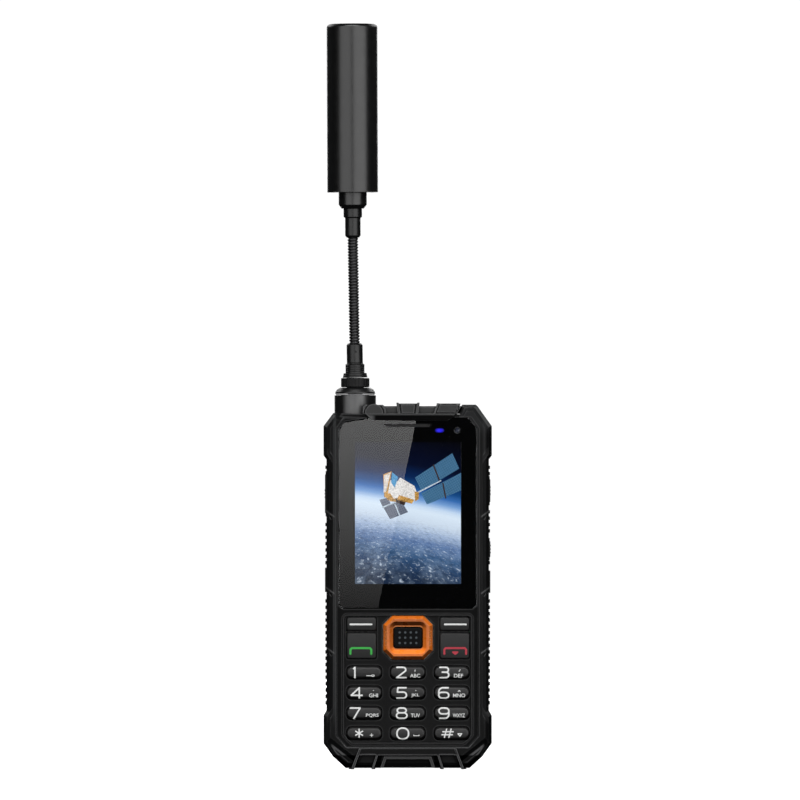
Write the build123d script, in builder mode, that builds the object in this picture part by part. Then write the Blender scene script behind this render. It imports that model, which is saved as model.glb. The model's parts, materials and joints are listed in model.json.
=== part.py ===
from build123d import *
"""Rugged handheld satellite phone with a gooseneck S-band antenna.

Row frame: millimetres, +Z up, the screen and keypad face -Y, +X is to the right of a user who
faces the keypad. The origin is at the middle of the footprint on which the phone stands.
Layers run along Y: the bezel crest is near y = -12, the battery side near y = +12.
"""
import math
import os

os.makedirs("parts", exist_ok=True)

# ------------------------------------------------------------------ driving dimensions
HALF_W = 29.05          # half width over the corner bumpers
HALF_ROOT = 28.05       # half width between the grip ridges
HALF_RIDGE = 28.45      # half width over the grip ridges
HALF_BLOCK = 28.6       # half width over the side keys and grip blocks
BODY_TOP = 125.8        # top of the corner blocks
HOUSING_W = 26.1        # half width of the two housing shells
HOUSING_TOP = 122.5
Y_CREST = -12.0         # bezel crest of the bumper
Y_FACE = -11.5          # rim of the front housing
Y_GLASS = -11.3
Y_MAT = -11.2           # visible face of the keypad mat
Y_KEY = -12.1           # top of a resting key
Y_NAV = -12.5           # crest of the navigation ring
Y_PCB = -7.4            # keypad side of the main board
Y_BACK = 11.4           # outer face of the battery cover
Y_PAD = 12.5            # rear corner pads
KEY_TRAVEL = 0.5
GAP = 0.3               # running gap round keys

ANT_X = -18.13          # antenna axis
Z_BOSS = 129.0          # top of the antenna boss
Z_NUT = 133.4           # height at which the whip starts to lean
LEAN = -0.97            # lean of the whip, degrees, towards -X
HEAD_LEAN = 0.73        # the radome leans back by this much at the last joint
NECK_0, NECK_1 = 147.0, 183.6
NECK_R = 1.8
NECK_CORE = 1.3
N_JOINT = 6
PITCH = (NECK_1 - NECK_0) / N_JOINT
JOINTS_Z = [NECK_0 + PITCH * (k + 0.5) for k in range(N_JOINT)]
RADOME_0, RADOME_1, RADOME_R = 199.2, 257.5, 8.83


# ------------------------------------------------------------------ helpers
def at_y(y):
    """Sketch plane parallel to XZ at this y; its normal points to the front (-Y)."""
    return Plane.XZ.offset(-y)


def slab(pts, y0, y1, mode=Mode.ADD, taper=0.0, r=0.0, inset=0.0):
    """Prism of an XZ outline from y0 (front) to y1 (back); a taper narrows it to the front."""
    with BuildSketch(at_y(y1)) as s:
        Polygon(*pts, align=None)
        if inset:
            offset(amount=-inset, kind=Kind.INTERSECTION)
        if r:
            fillet(s.vertices(), r)
    extrude(s.sketch, amount=y1 - y0, mode=mode, taper=taper)


def slab_back(pts, y0, y1, mode=Mode.ADD, taper=0.0, inset=0.0):
    """As slab, but a taper narrows it to the back."""
    with BuildSketch(at_y(y0)) as s:
        Polygon(*pts, align=None)
        if inset:
            offset(amount=-inset, kind=Kind.INTERSECTION)
    extrude(s.sketch, amount=-(y1 - y0), mode=mode, taper=taper)


def rect(x0, x1, z0, z1):
    return [(x0, z0), (x1, z0), (x1, z1), (x0, z1)]


def block(x0, x1, y0, y1, z0, z1, mode=Mode.ADD):
    with BuildSketch(Plane.XY.offset(z0)) as s:
        Polygon((x0, y0), (x1, y0), (x1, y1), (x0, y1), align=None)
    extrude(s.sketch, amount=z1 - z0, mode=mode)


def round_y(x, z, r, y0, y1, mode=Mode.ADD):
    """Cylinder along Y."""
    with BuildSketch(at_y(y1)) as s:
        with Locations((x, z)):
            Circle(r)
    extrude(s.sketch, amount=y1 - y0, mode=mode)


def round_z(x, y, r, z0, z1, mode=Mode.ADD):
    with BuildSketch(Plane.XY.offset(z0)) as s:
        with Locations((x, y)):
            Circle(r)
    extrude(s.sketch, amount=z1 - z0, mode=mode)


def turned(profile, mode=Mode.ADD):
    """Solid of revolution about the antenna axis from (radius, z) points."""
    with BuildSketch(Plane.XZ) as s:
        Polygon(*[(ANT_X + r, z) for r, z in profile], align=None)
    revolve(s.sketch, axis=Axis((ANT_X, 0, 0), (0, 0, 1)), mode=mode)


def mirror_x(pts):
    return [(-x, z) for x, z in reversed(pts)]


written = []


def write(part, name):
    part.label = name
    export_step(part, f"parts/{name}.step")
    written.append(name)


for old in os.listdir("parts"):
    if old.endswith(".step"):
        os.remove(os.path.join("parts", old))

# ------------------------------------------------------------------ outlines in XZ
OUTER = [(21.4, 0.35), (25.75, 4.3), (HALF_W, 8.9), (HALF_W, 18.4), (HALF_ROOT, 20.1),
         (HALF_ROOT, 106.9), (HALF_W, 108.3), (HALF_W, 118.4), (24.2, 125.2), (23.5, BODY_TOP),
         (18.9, BODY_TOP), (17.0, 122.6), (-15.7, 122.6), (-25.7, 122.9), (-HALF_W, 118.4),
         (-HALF_W, 108.3), (-HALF_ROOT, 106.9), (-HALF_ROOT, 20.1), (-HALF_W, 18.4),
         (-HALF_W, 8.9), (-25.75, 4.3), (-21.4, 0.35)]
SHELL = [(20.6, 2.4), (24.3, 5.7), (HOUSING_W, 8.4), (HOUSING_W, 117.6), (22.4, HOUSING_TOP),
         (-22.4, HOUSING_TOP), (-HOUSING_W, 117.6), (-HOUSING_W, 8.4), (-24.3, 5.7), (-20.6, 2.4)]
KEYPAD = [(22.5, 53.6), (-22.5, 53.6), (-22.5, 11.7), (-19.6, 8.6), (19.6, 8.6), (22.5, 11.7)]
GLASS = [(23.8, 56.6), (23.8, 117.9), (20.8, 121.3), (-13.0, 121.3), (-21.7, 119.9),
         (-23.8, 117.2), (-23.8, 56.6), (-22.4, 55.4), (22.4, 55.4)]
SCREWS = [(14.0, 5.7), (-14.0, 5.7), (23.15, 112.2), (-23.15, 112.2)]
CAP = [(-15.6, 123.4), (-12.4, 120.3), (14.1, 120.1), (16.0, 121.6), (18.8, 126.0), (-15.6, 126.0)]
COVER = [(24.2, 11.7), (24.2, 98.0), (-24.2, 98.0), (-24.2, 11.7), (-22.0, 9.5), (22.0, 9.5)]
BAY = rect(-20.4, 20.4, 19.0, 92.5)
FRONT_EDGE = [(21.0, 7.7), (24.5, 11.6), (24.5, 117.6), (21.8, 121.3), (-21.8, 121.3), (-24.5, 117.6),
              (-24.5, 11.6), (-21.0, 7.7)]

# side keys: (name, side, z0, z1)
PTT_Z, SOS_Z, TORCH_Z = (88.1, 101.9), (91.9, 100.2), (72.9, 78.8)
JACK_X, JACK_R = 13.2, 1.8
CAM = (-4.0, 109.0)
FLASH = (4.0, 109.0)
LOCKS = [(-17.0, 14.3), (17.0, 14.3)]

# ------------------------------------------------------------------ bumper frame
with BuildPart() as bumper_frame:
    slab(OUTER, -8.0, 8.0)
    slab(OUTER, -11.0, -8.0, taper=21)
    slab(OUTER, Y_CREST, -11.0, taper=50, inset=1.15)
    # wide facets on the two lower front corners
    for side in (-1, 1):
        facet = Plane(origin=(0, 0, 0), x_dir=(side * 0.616, 0, -0.788), z_dir=(side * -0.788, 0, -0.616))
        with BuildSketch(facet) as cut:
            if side < 0:
                Polygon((7.44, -12.2), (14.4, -8.3), (14.4, -14.0), (7.44, -14.0), align=None)
            else:
                Polygon((7.44, 12.2), (14.4, 8.3), (14.4, 14.0), (7.44, 14.0), align=None)
        extrude(cut.sketch, amount=40, both=True, mode=Mode.SUBTRACT)
    slab_back(OUTER, 8.0, 11.0, taper=21)
    slab_back(OUTER, 11.0, 12.0, taper=40, inset=1.15)
    # plain grip blocks and the frames round the side keys
    for side, z0, z1 in ((-1, 61.1, 69.4), (1, 60.8, 68.4), (-1, 87.2, 102.8), (1, 91.0, 101.1),
                         (1, 72.0, 79.7)):
        xa, xb = sorted((side * 27.6, side * (HALF_BLOCK - 0.05 if z0 < 62 else 28.35)))
        block(xa, xb, -7.6, 7.6, z0, z1)
    # housing bore, front window and rear window
    slab(SHELL, -10.7, 10.7, mode=Mode.SUBTRACT, inset=-0.1)
    slab(FRONT_EDGE, -13.0, -10.7, mode=Mode.SUBTRACT, inset=-0.1)
    slab(SHELL, 10.7, 13.0, mode=Mode.SUBTRACT, inset=1.1)
    # seat of the top cap
    slab([(x + (0.15 if x > 0 else -0.15), z - 0.15) for x, z in CAP[:4]]
         + [(19.0, 130.0), (-15.75, 130.0)], -13.0, 13.0, mode=Mode.SUBTRACT)
    # antenna boss passes through the left shoulder
    round_z(ANT_X, 0, 7.35, 110.0, 131.0, mode=Mode.SUBTRACT)
    # windows for the side keys
    for side, (z0, z1) in ((-1, PTT_Z), (1, SOS_Z), (1, TORCH_Z)):
        xa, xb = sorted((side * 25.0, side * 30.0))
        block(xa, xb, -2.9, 2.9, z0 - GAP, z1 + GAP, mode=Mode.SUBTRACT)
    # slanted panel cuts across the bevels
    for zc in (88.1, 61.6, 41.0):
        for side in (-1, 1):
            slab([(side * 25.9, zc - 1.5), (side * 27.9, zc + 1.1), (side * 28.3, zc + 0.75),
                  (side * 26.2, zc - 1.9)][::side], -12.6, -10.55, mode=Mode.SUBTRACT)
    # bottom lip: raised band, recess of the connector flap, slanted windows, ribs and feet
    slab([(-15.9, 7.35), (-16.9, 4.85), (17.1, 4.85), (16.1, 7.35)][::-1], -12.3, -11.6)
    slab([(-9.9, -1.0), (-8.4, 4.7), (8.4, 4.7), (9.9, -1.0)], -13.0, -10.65, mode=Mode.SUBTRACT)
    block(-9.2, 9.2, -10.7, 6.2, -1.0, 2.6, mode=Mode.SUBTRACT)
    for side in (-1, 1):
        slab([(side * 12.85, -1), (side * 10.95, 5.0), (side * 15.95, 5.0), (side * 18.4, -1)][::side],
             -13.0, -11.0, mode=Mode.SUBTRACT)
        slab([(side * 12.6, -1), (side * 12.0, 1.3), (side * 17.4, 1.3), (side * 18.3, -1)][::side],
             -13.0, -9.6, mode=Mode.SUBTRACT)
        slab([(side * 18.6, 0.0), (side * 17.6, 1.6), (side * 19.0, 1.6), (side * 20.3, 0.0)][::side],
             -9.6, 9.6)
        slab([(side * 11.2, 0.0), (side * 10.9, 1.6), (side * 12.1, 1.6), (side * 12.5, 0.0)][::side],
             -9.6, 9.6)
        # raised slanted ribs on the front lip
        slab([(side * 18.6, 0.0), (side * 15.95, 7.2), (side * 16.75, 7.2), (side * 19.55, 0.0)][::side],
             -12.4, -10.75)
        slab([(side * 11.75, 0.0), (side * 10.05, 5.4), (side * 10.75, 5.4), (side * 12.5, 0.0)][::side],
             -12.3, -10.75)
        slab([(side * 18.5, 0.0), (side * 17.7, 2.2), (side * 18.6, 2.2), (side * 19.5, 0.0)][::side],
             -10.8, -9.5)
        slab([(side * 11.7, 0.0), (side * 11.1, 2.2), (side * 11.8, 2.2), (side * 12.45, 0.0)][::side],
             -10.8, -9.5)
    # microphone hole in the underside
    round_z(14.9, 0, 0.5, -1.0, 3.0, mode=Mode.SUBTRACT)
    # rear corner pads
    for side in (-1, 1):
        slab([(side * 25.2, 9.5), (side * 26.4, 9.5), (side * 26.4, 18.0), (side * 25.2, 18.0)][::side],
             11.2, Y_PAD)
        slab([(side * 25.2, 108.5), (side * 26.4, 108.5), (side * 26.4, 117.0), (side * 25.2, 117.0)][::side],
             11.2, Y_PAD)
    # ridges of the grip strips on both sides
    with BuildSketch(at_y(7.4)) as ridges:
        for z in [22.2 + 2.2 * i for i in range(38)]:
            for side, blocks in ((-1, [(86.9, 103.0), (60.3, 70.0)]),
                                 (1, [(90.6, 101.4), (71.8, 80.0), (60.3, 69.6)])):
                if z + 1.0 < 106.0 and not any(a < z + 1.1 and z < b for a, b in blocks):
                    with Locations((side * 28.0, z + 0.55)):
                        Rectangle(0.9, 1.1)
    extrude(ridges.sketch, amount=14.8)
write(bumper_frame.part, "bumper_frame")

# ------------------------------------------------------------------ top cap
with BuildPart() as top_cap:
    # bar over the housing, and the lip that hangs in front of the glass
    slab([(-15.5, 122.7), (-15.5, 125.3), (18.5, 125.3), (17.0, 122.7)], -10.9, 11.0)
    slab([(-15.3, 122.65), (-15.3, 125.0), (17.75, 125.0), (16.4, 122.65)], -11.25, -10.8)
    slab([(-12.3, 120.4), (14.0, 120.2), (15.8, 121.7), (16.4, 122.75), (-14.75, 122.75)], -12.0, -11.58, taper=12)
    slab([(-13.7, 121.9), (-14.6, 122.75), (16.3, 122.75), (15.8, 121.9)], -11.9, -10.9)
    # rounded lobe beside the antenna with a lower collar round it
    for r, y in ((4.2, -11.65), (3.1, -11.95)):
        with BuildSketch(at_y(9.0 if r < 4 else 8.0)) as lobe:
            with Locations((-11.6, 122.9)):
                Circle(r)
            with Locations((0, 122.7)):
                Rectangle(60, 30, align=(Align.CENTER, Align.MAX), mode=Mode.SUBTRACT)
            with Locations((0, 126.1 if r < 4 else 125.75)):
                Rectangle(60, 30, align=(Align.CENTER, Align.MIN), mode=Mode.SUBTRACT)
            with Locations((-15.45, 120)):
                Rectangle(30, 60, align=(Align.MAX, Align.CENTER), mode=Mode.SUBTRACT)
        extrude(lobe.sketch, amount=(9.0 if r < 4 else 8.0) - y)
    with BuildSketch(at_y(-11.2)) as groove:
        with Locations((-11.6, 122.9)):
            Circle(3.55)
            Circle(3.1, mode=Mode.SUBTRACT)
        with Locations((0, 122.8)):
            Rectangle(60, 30, align=(Align.CENTER, Align.MAX), mode=Mode.SUBTRACT)
    extrude(groove.sketch, amount=3.0, mode=Mode.SUBTRACT)
    # centre block with the torch, between two ribs
    slab([(-3.9, 122.9), (-3.5, 126.2), (3.7, 126.2), (4.1, 122.9)], -11.1, 9.5)
    slab([(-2.0, 122.9), (-2.3, 125.9), (2.5, 125.9), (2.2, 122.9)], -11.7, -11.0)
    slab([(-3.4, 122.7), (-3.95, 126.5), (-3.1, 126.5), (-2.55, 122.7)], -12.0, 9.8)
    slab([(2.75, 122.7), (3.3, 126.5), (4.15, 126.5), (3.6, 122.7)], -12.0, 9.8)
    # rib that frames the jack flap, and the anchor of the flap's strap
    slab([(8.9, 122.7), (10.2, 126.3), (10.85, 126.3), (9.55, 122.7)], -12.0, 9.8)
    slab([(10.0, 125.2), (10.0, 126.2), (18.3, 126.2), (18.0, 125.2)], 4.6, 9.8)
    # clearance round the antenna boss
    round_z(ANT_X, 0, 7.5, 118.0, 131.0, mode=Mode.SUBTRACT)
    # torch bore and jack flap seat
    round_z(0.1, 0, 2.55, 120.0, 128.0, mode=Mode.SUBTRACT)
    block(11.05, 17.6, -13.0, 4.5, 123.7, 128.0, mode=Mode.SUBTRACT)
    round_z(JACK_X, 0, 3.1, 120.0, 128.0, mode=Mode.SUBTRACT)
write(top_cap.part, "top_cap")

# ------------------------------------------------------------------ front housing
with BuildPart() as front_housing:
    slab(FRONT_EDGE, Y_FACE, -10.6)
    slab(SHELL, -10.6, -9.8)
    slab(SHELL, -9.8, -6.0)
    slab(SHELL, -9.8, -5.0, mode=Mode.SUBTRACT, inset=1.5)
    for x, z in SCREWS:
        round_y(x, z, 1.75, -9.9, -6.0)
        round_y(x, z, 0.8, -8.6, -4.0, mode=Mode.SUBTRACT)
    # glass seat, screen window, earpiece slot, camera and lamp holes
    slab(GLASS, -12.0, -10.2, mode=Mode.SUBTRACT, inset=-0.12)
    slab(rect(-19.2, 19.2, 62.6, 113.9), -12.0, -9.0, mode=Mode.SUBTRACT)
    slab(rect(-7.4, 7.4, 117.9, 119.3), -12.0, -9.0, mode=Mode.SUBTRACT)
    round_y(17.1, 116.9, 1.75, -12.0, -9.0, mode=Mode.SUBTRACT)
    slab(rect(9.6, 12.4, 116.2, 117.6), -12.0, -9.0, mode=Mode.SUBTRACT)
    # keypad window
    slab(KEYPAD, -12.0, -9.0, mode=Mode.SUBTRACT, inset=-0.1, r=1.8)
    # antenna boss and the battery-side bosses stay clear
    round_z(ANT_X, 0, 7.35, 112.8, 131.0, mode=Mode.SUBTRACT)
write(front_housing.part, "front_housing")

# ------------------------------------------------------------------ rear housing
with BuildPart() as rear_housing:
    slab(SHELL, -5.9, 10.6)
    slab_back(SHELL, 10.6, Y_BACK, inset=1.2)
    # board cavity, top bay, bottom bay and the channels of the side keys
    slab(SHELL, -6.5, -3.4, mode=Mode.SUBTRACT, inset=1.6)
    slab([(-10.2, 96.0), (22.0, 96.0), (22.0, 120.9), (-10.2, 120.9)], -4.0, 9.6, mode=Mode.SUBTRACT)
    slab(rect(-22.0, -12.4, 96.0, 109.5), -4.0, 9.6, mode=Mode.SUBTRACT)
    slab(rect(-11.0, 11.0, 4.2, 11.4), -4.0, 9.6, mode=Mode.SUBTRACT)
    for side in (-1, 1):
        xa, xb = sorted((side * 21.9, side * 24.5))
        slab(rect(xa, xb, 60.0, 109.5), -4.0, 6.0, mode=Mode.SUBTRACT)
    # battery bay from the rear and the seat of the cover
    slab(BAY, -1.9, 12.0, mode=Mode.SUBTRACT)
    slab(COVER, 9.8, 12.5, mode=Mode.SUBTRACT, inset=-0.15)
    # gasket groove
    slab(rect(-22.3, 22.3, 17.8, 94.2), 9.1, 10.0, mode=Mode.SUBTRACT)
    slab(rect(-21.3, 21.3, 18.8, 93.2), 9.1, 9.8)
    slab(BAY, -1.9, 12.0, mode=Mode.SUBTRACT)
    # antenna boss
    round_z(ANT_X, 0, 7.2, 113.0, Z_BOSS)
    # screws from the rear
    for x, z in SCREWS:
        round_y(x, z, 2.3, -5.9, 9.7)
        round_y(x, z, 1.65, -2.9, 12.0, mode=Mode.SUBTRACT)
        round_y(x, z, 0.95, -6.0, -2.0, mode=Mode.SUBTRACT)
    round_z(ANT_X, 0, 5.0, 116.0, 131.0, mode=Mode.SUBTRACT)
    # sockets of the cover locks
    for x, z in LOCKS:
        round_y(x, z, 1.5, 2.9, 12.0, mode=Mode.SUBTRACT)
    # battery contact slots, connector mouth, headset jack, torch and side key slots
    slab(rect(-6.0, 6.0, 86.0, 90.0), -4.0, -1.0, mode=Mode.SUBTRACT)
    block(-4.9, 4.9, -2.0, 2.0, 0.0, 6.0, mode=Mode.SUBTRACT)
    round_z(JACK_X, 0, 3.1, 120.0, 124.0, mode=Mode.SUBTRACT)
    round_z(0.1, 0, 2.55, 120.0, 124.0, mode=Mode.SUBTRACT)
    for side, (z0, z1) in ((-1, PTT_Z), (1, SOS_Z), (1, TORCH_Z)):
        xa, xb = sorted((side * 22.0, side * 28.0))
        block(xa, xb, -2.9, 2.9, z0 - GAP, z1 + GAP, mode=Mode.SUBTRACT)
        xa, xb = sorted((side * 22.0, side * 24.5))
        block(xa, xb, -3.9, 3.9, z0 - 1.3, z1 + 1.3, mode=Mode.SUBTRACT)
    # rear camera, flash and loudspeaker openings
    round_y(CAM[0], CAM[1], 4.3, 10.4, 12.0, mode=Mode.SUBTRACT)
    round_y(CAM[0], CAM[1], 3.3, 9.0, 12.0, mode=Mode.SUBTRACT)
    round_y(FLASH[0], FLASH[1], 1.8, 9.0, 12.0, mode=Mode.SUBTRACT)
    for i in range(5):
        slab(rect(10.6, 19.4, 103.6 + 2.4 * i, 104.7 + 2.4 * i), 9.0, 12.0, mode=Mode.SUBTRACT)
    # microphone duct
    round_z(14.9, 0, 0.5, 0.0, 5.0, mode=Mode.SUBTRACT)
write(rear_housing.part, "rear_housing")

# ------------------------------------------------------------------ battery cover
with BuildPart() as battery_cover:
    slab(COVER, 9.9, Y_BACK)
    chamfer(battery_cover.faces().sort_by(Axis.Y)[-1].edges(), 0.35)
    for i in range(9):
        slab(rect(-17.0, 17.0, 26.0 + 2.6 * i, 27.3 + 2.6 * i), 11.2, 11.75)
    slab([(-17, 62), (17, 62), (20, 65), (20, 90), (16, 94), (-16, 94), (-20, 90), (-20, 65)],
         11.2, 11.75)
    slab([(-15.6, 63.6), (15.6, 63.6), (18.4, 66.4), (18.4, 89.2), (15.2, 92.4), (-15.2, 92.4),
          (-18.4, 89.2), (-18.4, 66.4)], 11.4, 12.5, mode=Mode.SUBTRACT)
    for x, z in LOCKS:
        round_y(x, z, 4.3, 11.0, 11.75)
        round_y(x, z, 3.35, 10.5, 13.0, mode=Mode.SUBTRACT)
        round_y(x, z, 1.7, 9.0, 13.0, mode=Mode.SUBTRACT)
write(battery_cover.part, "battery_cover")

for name, (x, z) in (("cover_lock_left", LOCKS[0]), ("cover_lock_right", LOCKS[1])):
    with BuildPart() as lock:
        round_y(x, z, 3.15, 10.6, 11.9)
        chamfer(lock.faces().sort_by(Axis.Y)[-1].edges(), 0.3)
        round_y(x, z, 1.4, 3.2, 10.7)
        slab(rect(x - 2.5, x + 2.5, z - 0.55, z + 0.55), 11.2, 12.5, mode=Mode.SUBTRACT)
    write(lock.part, name)

with BuildPart() as cover_gasket:
    slab(rect(-22.15, 22.15, 17.95, 94.05), 9.15, 9.85)
    slab(rect(-21.45, 21.45, 18.65, 93.35), 9.0, 10.0, mode=Mode.SUBTRACT)
write(cover_gasket.part, "cover_gasket")

# ------------------------------------------------------------------ display
with BuildPart() as display_glass:
    slab(GLASS, Y_GLASS, -10.25)
    chamfer(display_glass.faces().sort_by(Axis.Y)[0].edges(), 0.25)
    slab([(-8.3, 119.15), (-7.4, 118.15), (7.4, 118.15), (8.3, 119.15)], -12.0, -10.0,
         mode=Mode.SUBTRACT)
write(display_glass.part, "display_glass")

with BuildPart() as lcd_module:
    slab(rect(-21.3, 21.3, 55.9, 114.6), -9.7, -7.6)
    slab(rect(-18.36, 18.36, 63.92, 112.88), -10.0, -9.6, mode=Mode.SUBTRACT)
write(lcd_module.part, "lcd_module")

with BuildPart() as earpiece:
    slab(rect(-7.3, 7.3, 118.0, 119.2), -10.15, -9.6)
    slab(rect(-7.5, 7.5, 117.7, 120.8), -9.7, -7.6)
write(earpiece.part, "earpiece")

with BuildPart() as front_sensors:
    # camera, status lamp and the small board that carries both
    round_y(17.1, 116.9, 1.6, -10.15, -9.6)
    round_y(17.1, 116.9, 0.9, -11.0, -9.9, mode=Mode.SUBTRACT)
    slab(rect(14.6, 19.6, 114.8, 119.0), -9.7, -7.6)
    slab(rect(9.75, 12.25, 116.35, 117.45), -10.15, -9.0)
    slab(rect(9.2, 12.8, 115.2, 118.6), -9.7, -7.6)
    slab(rect(9.2, 19.6, 115.2, 118.6), -8.0, -7.6)
write(front_sensors.part, "front_sensors")

# ------------------------------------------------------------------ keypad
KEY_W, KEY_H = 12.0, 4.6
COLS, ROWS = (-15.0, 0.0, 15.2), (33.4, 26.45, 19.4, 12.4)
DIGITS = {}
for r, row in enumerate((("1", "2", "3"), ("4", "5", "6"), ("7", "8", "9"), ("star", "0", "hash"))):
    for c, n in enumerate(row):
        DIGITS["key_" + n] = (COLS[c], ROWS[r])
NAV = (0.1, 45.4)
NAV_W, NAV_H, NAV_C = 17.0, 15.1, 3.1
FUNCTION = {"key_soft_left": (-15.9, 50.1, 10.1, 4.8), "key_soft_right": (16.2, 50.1, 10.1, 4.8),
            "key_call": (-15.9, 42.6, 10.1, 8.9), "key_end": (16.2, 42.6, 10.1, 8.9)}


def pill(x, z, w, h, r, y0, y1, mode=Mode.ADD):
    with BuildSketch(at_y(y1)) as s:
        with Locations((x, z)):
            RectangleRounded(w, h, r)
    extrude(s.sketch, amount=y1 - y0, mode=mode)


def octagon(w, h, c, x, z):
    return [(x - w / 2 + c, z - h / 2), (x + w / 2 - c, z - h / 2), (x + w / 2, z - h / 2 + c),
            (x + w / 2, z + h / 2 - c), (x + w / 2 - c, z + h / 2), (x - w / 2 + c, z + h / 2),
            (x - w / 2, z + h / 2 - c), (x - w / 2, z - h / 2 + c)]


with BuildPart() as keypad_mat:
    slab(KEYPAD, Y_MAT, -9.8, r=1.7)
    slab(KEYPAD, -9.75, -9.6, inset=-0.45)
    slab(KEYPAD, -9.8, -9.7, r=1.7)
    # raised border of the visible panel
    slab(KEYPAD, -11.45, Y_MAT, r=1.7)
    slab(KEYPAD, -11.75, -11.45, r=1.7, taper=25)
    slab(KEYPAD, -12.0, Y_MAT, mode=Mode.SUBTRACT, inset=0.6, r=1.2)
    for x, z in DIGITS.values():
        pill(x, z, KEY_W + 2 * GAP, KEY_H + 2 * GAP, 2.1, -13.0, -9.0, mode=Mode.SUBTRACT)
    for x, z, w, h in list(FUNCTION.values())[::2][:1] + list(FUNCTION.values())[1::2][:1]:
        pill(x, 45.325, w + 2 * GAP, 14.35 + 2 * GAP, 1.0, -13.0, -9.0, mode=Mode.SUBTRACT)
    slab(octagon(NAV_W + 0.7, NAV_H + 0.7, NAV_C, *NAV), -13.0, -9.0, mode=Mode.SUBTRACT)
write(keypad_mat.part, "keypad_mat")

for name, (x, z) in DIGITS.items():
    with BuildPart() as key:
        pill(x, z, KEY_W, KEY_H, 2.0, Y_KEY, -9.4)
        fillet(key.faces().sort_by(Axis.Y)[0].edges(), 0.75)
        pill(x, z, KEY_W + 1.3, KEY_H + 1.3, 2.2, -9.5, -9.05)
        round_y(x, z, 1.1, -9.1, -8.2)
    write(key.part, name)

for name, (x, z, w, h) in FUNCTION.items():
    with BuildPart() as key:
        pill(x, z, w, h, 0.8, -11.9, -9.4)
        fillet(key.faces().sort_by(Axis.Y)[0].edges(), 0.4)
        pill(x, z, w + 1.1, h + 0.2, 0.9, -9.5, -9.05)
        round_y(x, z, 1.1, -9.1, -8.2)
    write(key.part, name)

with BuildPart() as nav_ring:
    slab(octagon(NAV_W, NAV_H, NAV_C, *NAV), -11.2, -10.0)
    slab(octagon(NAV_W, NAV_H, NAV_C, *NAV), Y_NAV, -11.2, taper=42)
    # dished middle round the centre key
    with BuildSketch(at_y(Y_NAV - 0.01)) as dish:
        with Locations(NAV):
            RectangleRounded(12.9, 11.2, 2.4)
    extrude(dish.sketch, amount=-1.15, mode=Mode.SUBTRACT, taper=51)
    pill(NAV[0], NAV[1], 10.3, 7.6, 1.2, -13.0, -9.0, mode=Mode.SUBTRACT)
    # moulded serrations on the left and right flanks
    for i in range(6):
        for side in (-1, 1):
            xa, xb = sorted((NAV[0] + side * 7.3, NAV[0] + side * 9.2))
            slab(rect(xa, xb, NAV[1] - 2.62 + 0.95 * i, NAV[1] - 2.2 + 0.95 * i), -13.0, -11.75,
                 mode=Mode.SUBTRACT)
write(nav_ring.part, "nav_ring")

with BuildPart() as nav_rocker:
    # gimbal plate under the ring: the ring rocks on its upright ridge, the plate on its feet
    slab(octagon(NAV_W + 0.9, NAV_H - 0.2, NAV_C, *NAV), -9.3, -8.7)
    pill(NAV[0], NAV[1], 11.6, 8.9, 1.2, -13.0, -8.0, mode=Mode.SUBTRACT)
    for side in (-1, 1):
        zz = NAV[1] + side * 6.0
        slab(rect(NAV[0] - 0.5, NAV[0] + 0.5, zz - 0.9, zz + 0.9), -9.94, -9.2)
        xx = NAV[0] + side * 7.2
        round_y(xx, NAV[1], 0.7, -8.8, -7.72)
write(nav_rocker.part, "nav_rocker")

with BuildPart() as key_ok:
    pill(NAV[0], NAV[1], 9.6, 6.9, 1.0, -12.0, -9.0)
    fillet(key_ok.faces().sort_by(Axis.Y)[0].edges(), 0.45)
    for i in range(4):
        for j in range(3):
            round_y(NAV[0] + (i - 1.5) * 1.92, NAV[1] + (j - 1) * 1.83, 0.42, -12.15, -11.9)
    pill(NAV[0], NAV[1], 10.8, 8.1, 1.1, -9.3, -8.9)
    round_y(NAV[0], NAV[1], 1.1, -8.9, -8.2)
write(key_ok.part, "key_ok")

with BuildPart() as dome_sheet:
    slab([(21.0, 53.0), (-21.0, 53.0), (-21.0, 12.0), (-18.0, 9.5), (18.0, 9.5), (21.0, 12.0)],
         -7.5, Y_PCB)
    for x, z in list(DIGITS.values()) + [(x, z) for x, z, w, h in FUNCTION.values()] + [NAV]:
        round_y(x, z, 2.0, -7.65, -7.5)
write(dome_sheet.part, "dome_sheet")

# ------------------------------------------------------------------ electronics
with BuildPart() as main_board:
    slab(SHELL, Y_PCB, -6.4, inset=2.0)
    for x, z in SCREWS:
        round_y(x, z, 2.5, -8.0, -6.0, mode=Mode.SUBTRACT)
    round_z(ANT_X, 0, 7.6, 108.0, 131.0, mode=Mode.SUBTRACT)
    # sprung battery contacts soldered to the board
    for x in (-4.0, 0.0, 4.0):
        slab(rect(x - 0.6, x + 0.6, 86.8, 89.2), -6.4, -3.1)
        slab(rect(x - 0.45, x + 0.45, 87.3, 88.7), -3.2, -1.3)
write(main_board.part, "main_board")

with BuildPart() as shield_cans:
    for x0, x1, z0, z1 in ((-19.5, 2.0, 60.0, 83.5), (4.0, 19.5, 60.0, 83.5), (-19.5, 19.5, 24.0, 52.0)):
        slab(rect(x0, x1, z0, z1), -6.35, -4.2)
        slab(rect(x0 + 0.3, x1 - 0.3, z0 + 0.3, z1 - 0.3), -6.4, -4.5, mode=Mode.SUBTRACT)
write(shield_cans.part, "shield_cans")

with BuildPart() as battery:
    slab(rect(-20.0, 20.0, 19.4, 92.1), -1.5, 9.0)
    fillet(battery.edges().filter_by(Axis.Z), 1.6)
    slab(rect(-5.2, 5.2, 86.4, 89.6), -1.6, -1.25, mode=Mode.SUBTRACT)
write(battery.part, "battery")

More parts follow.
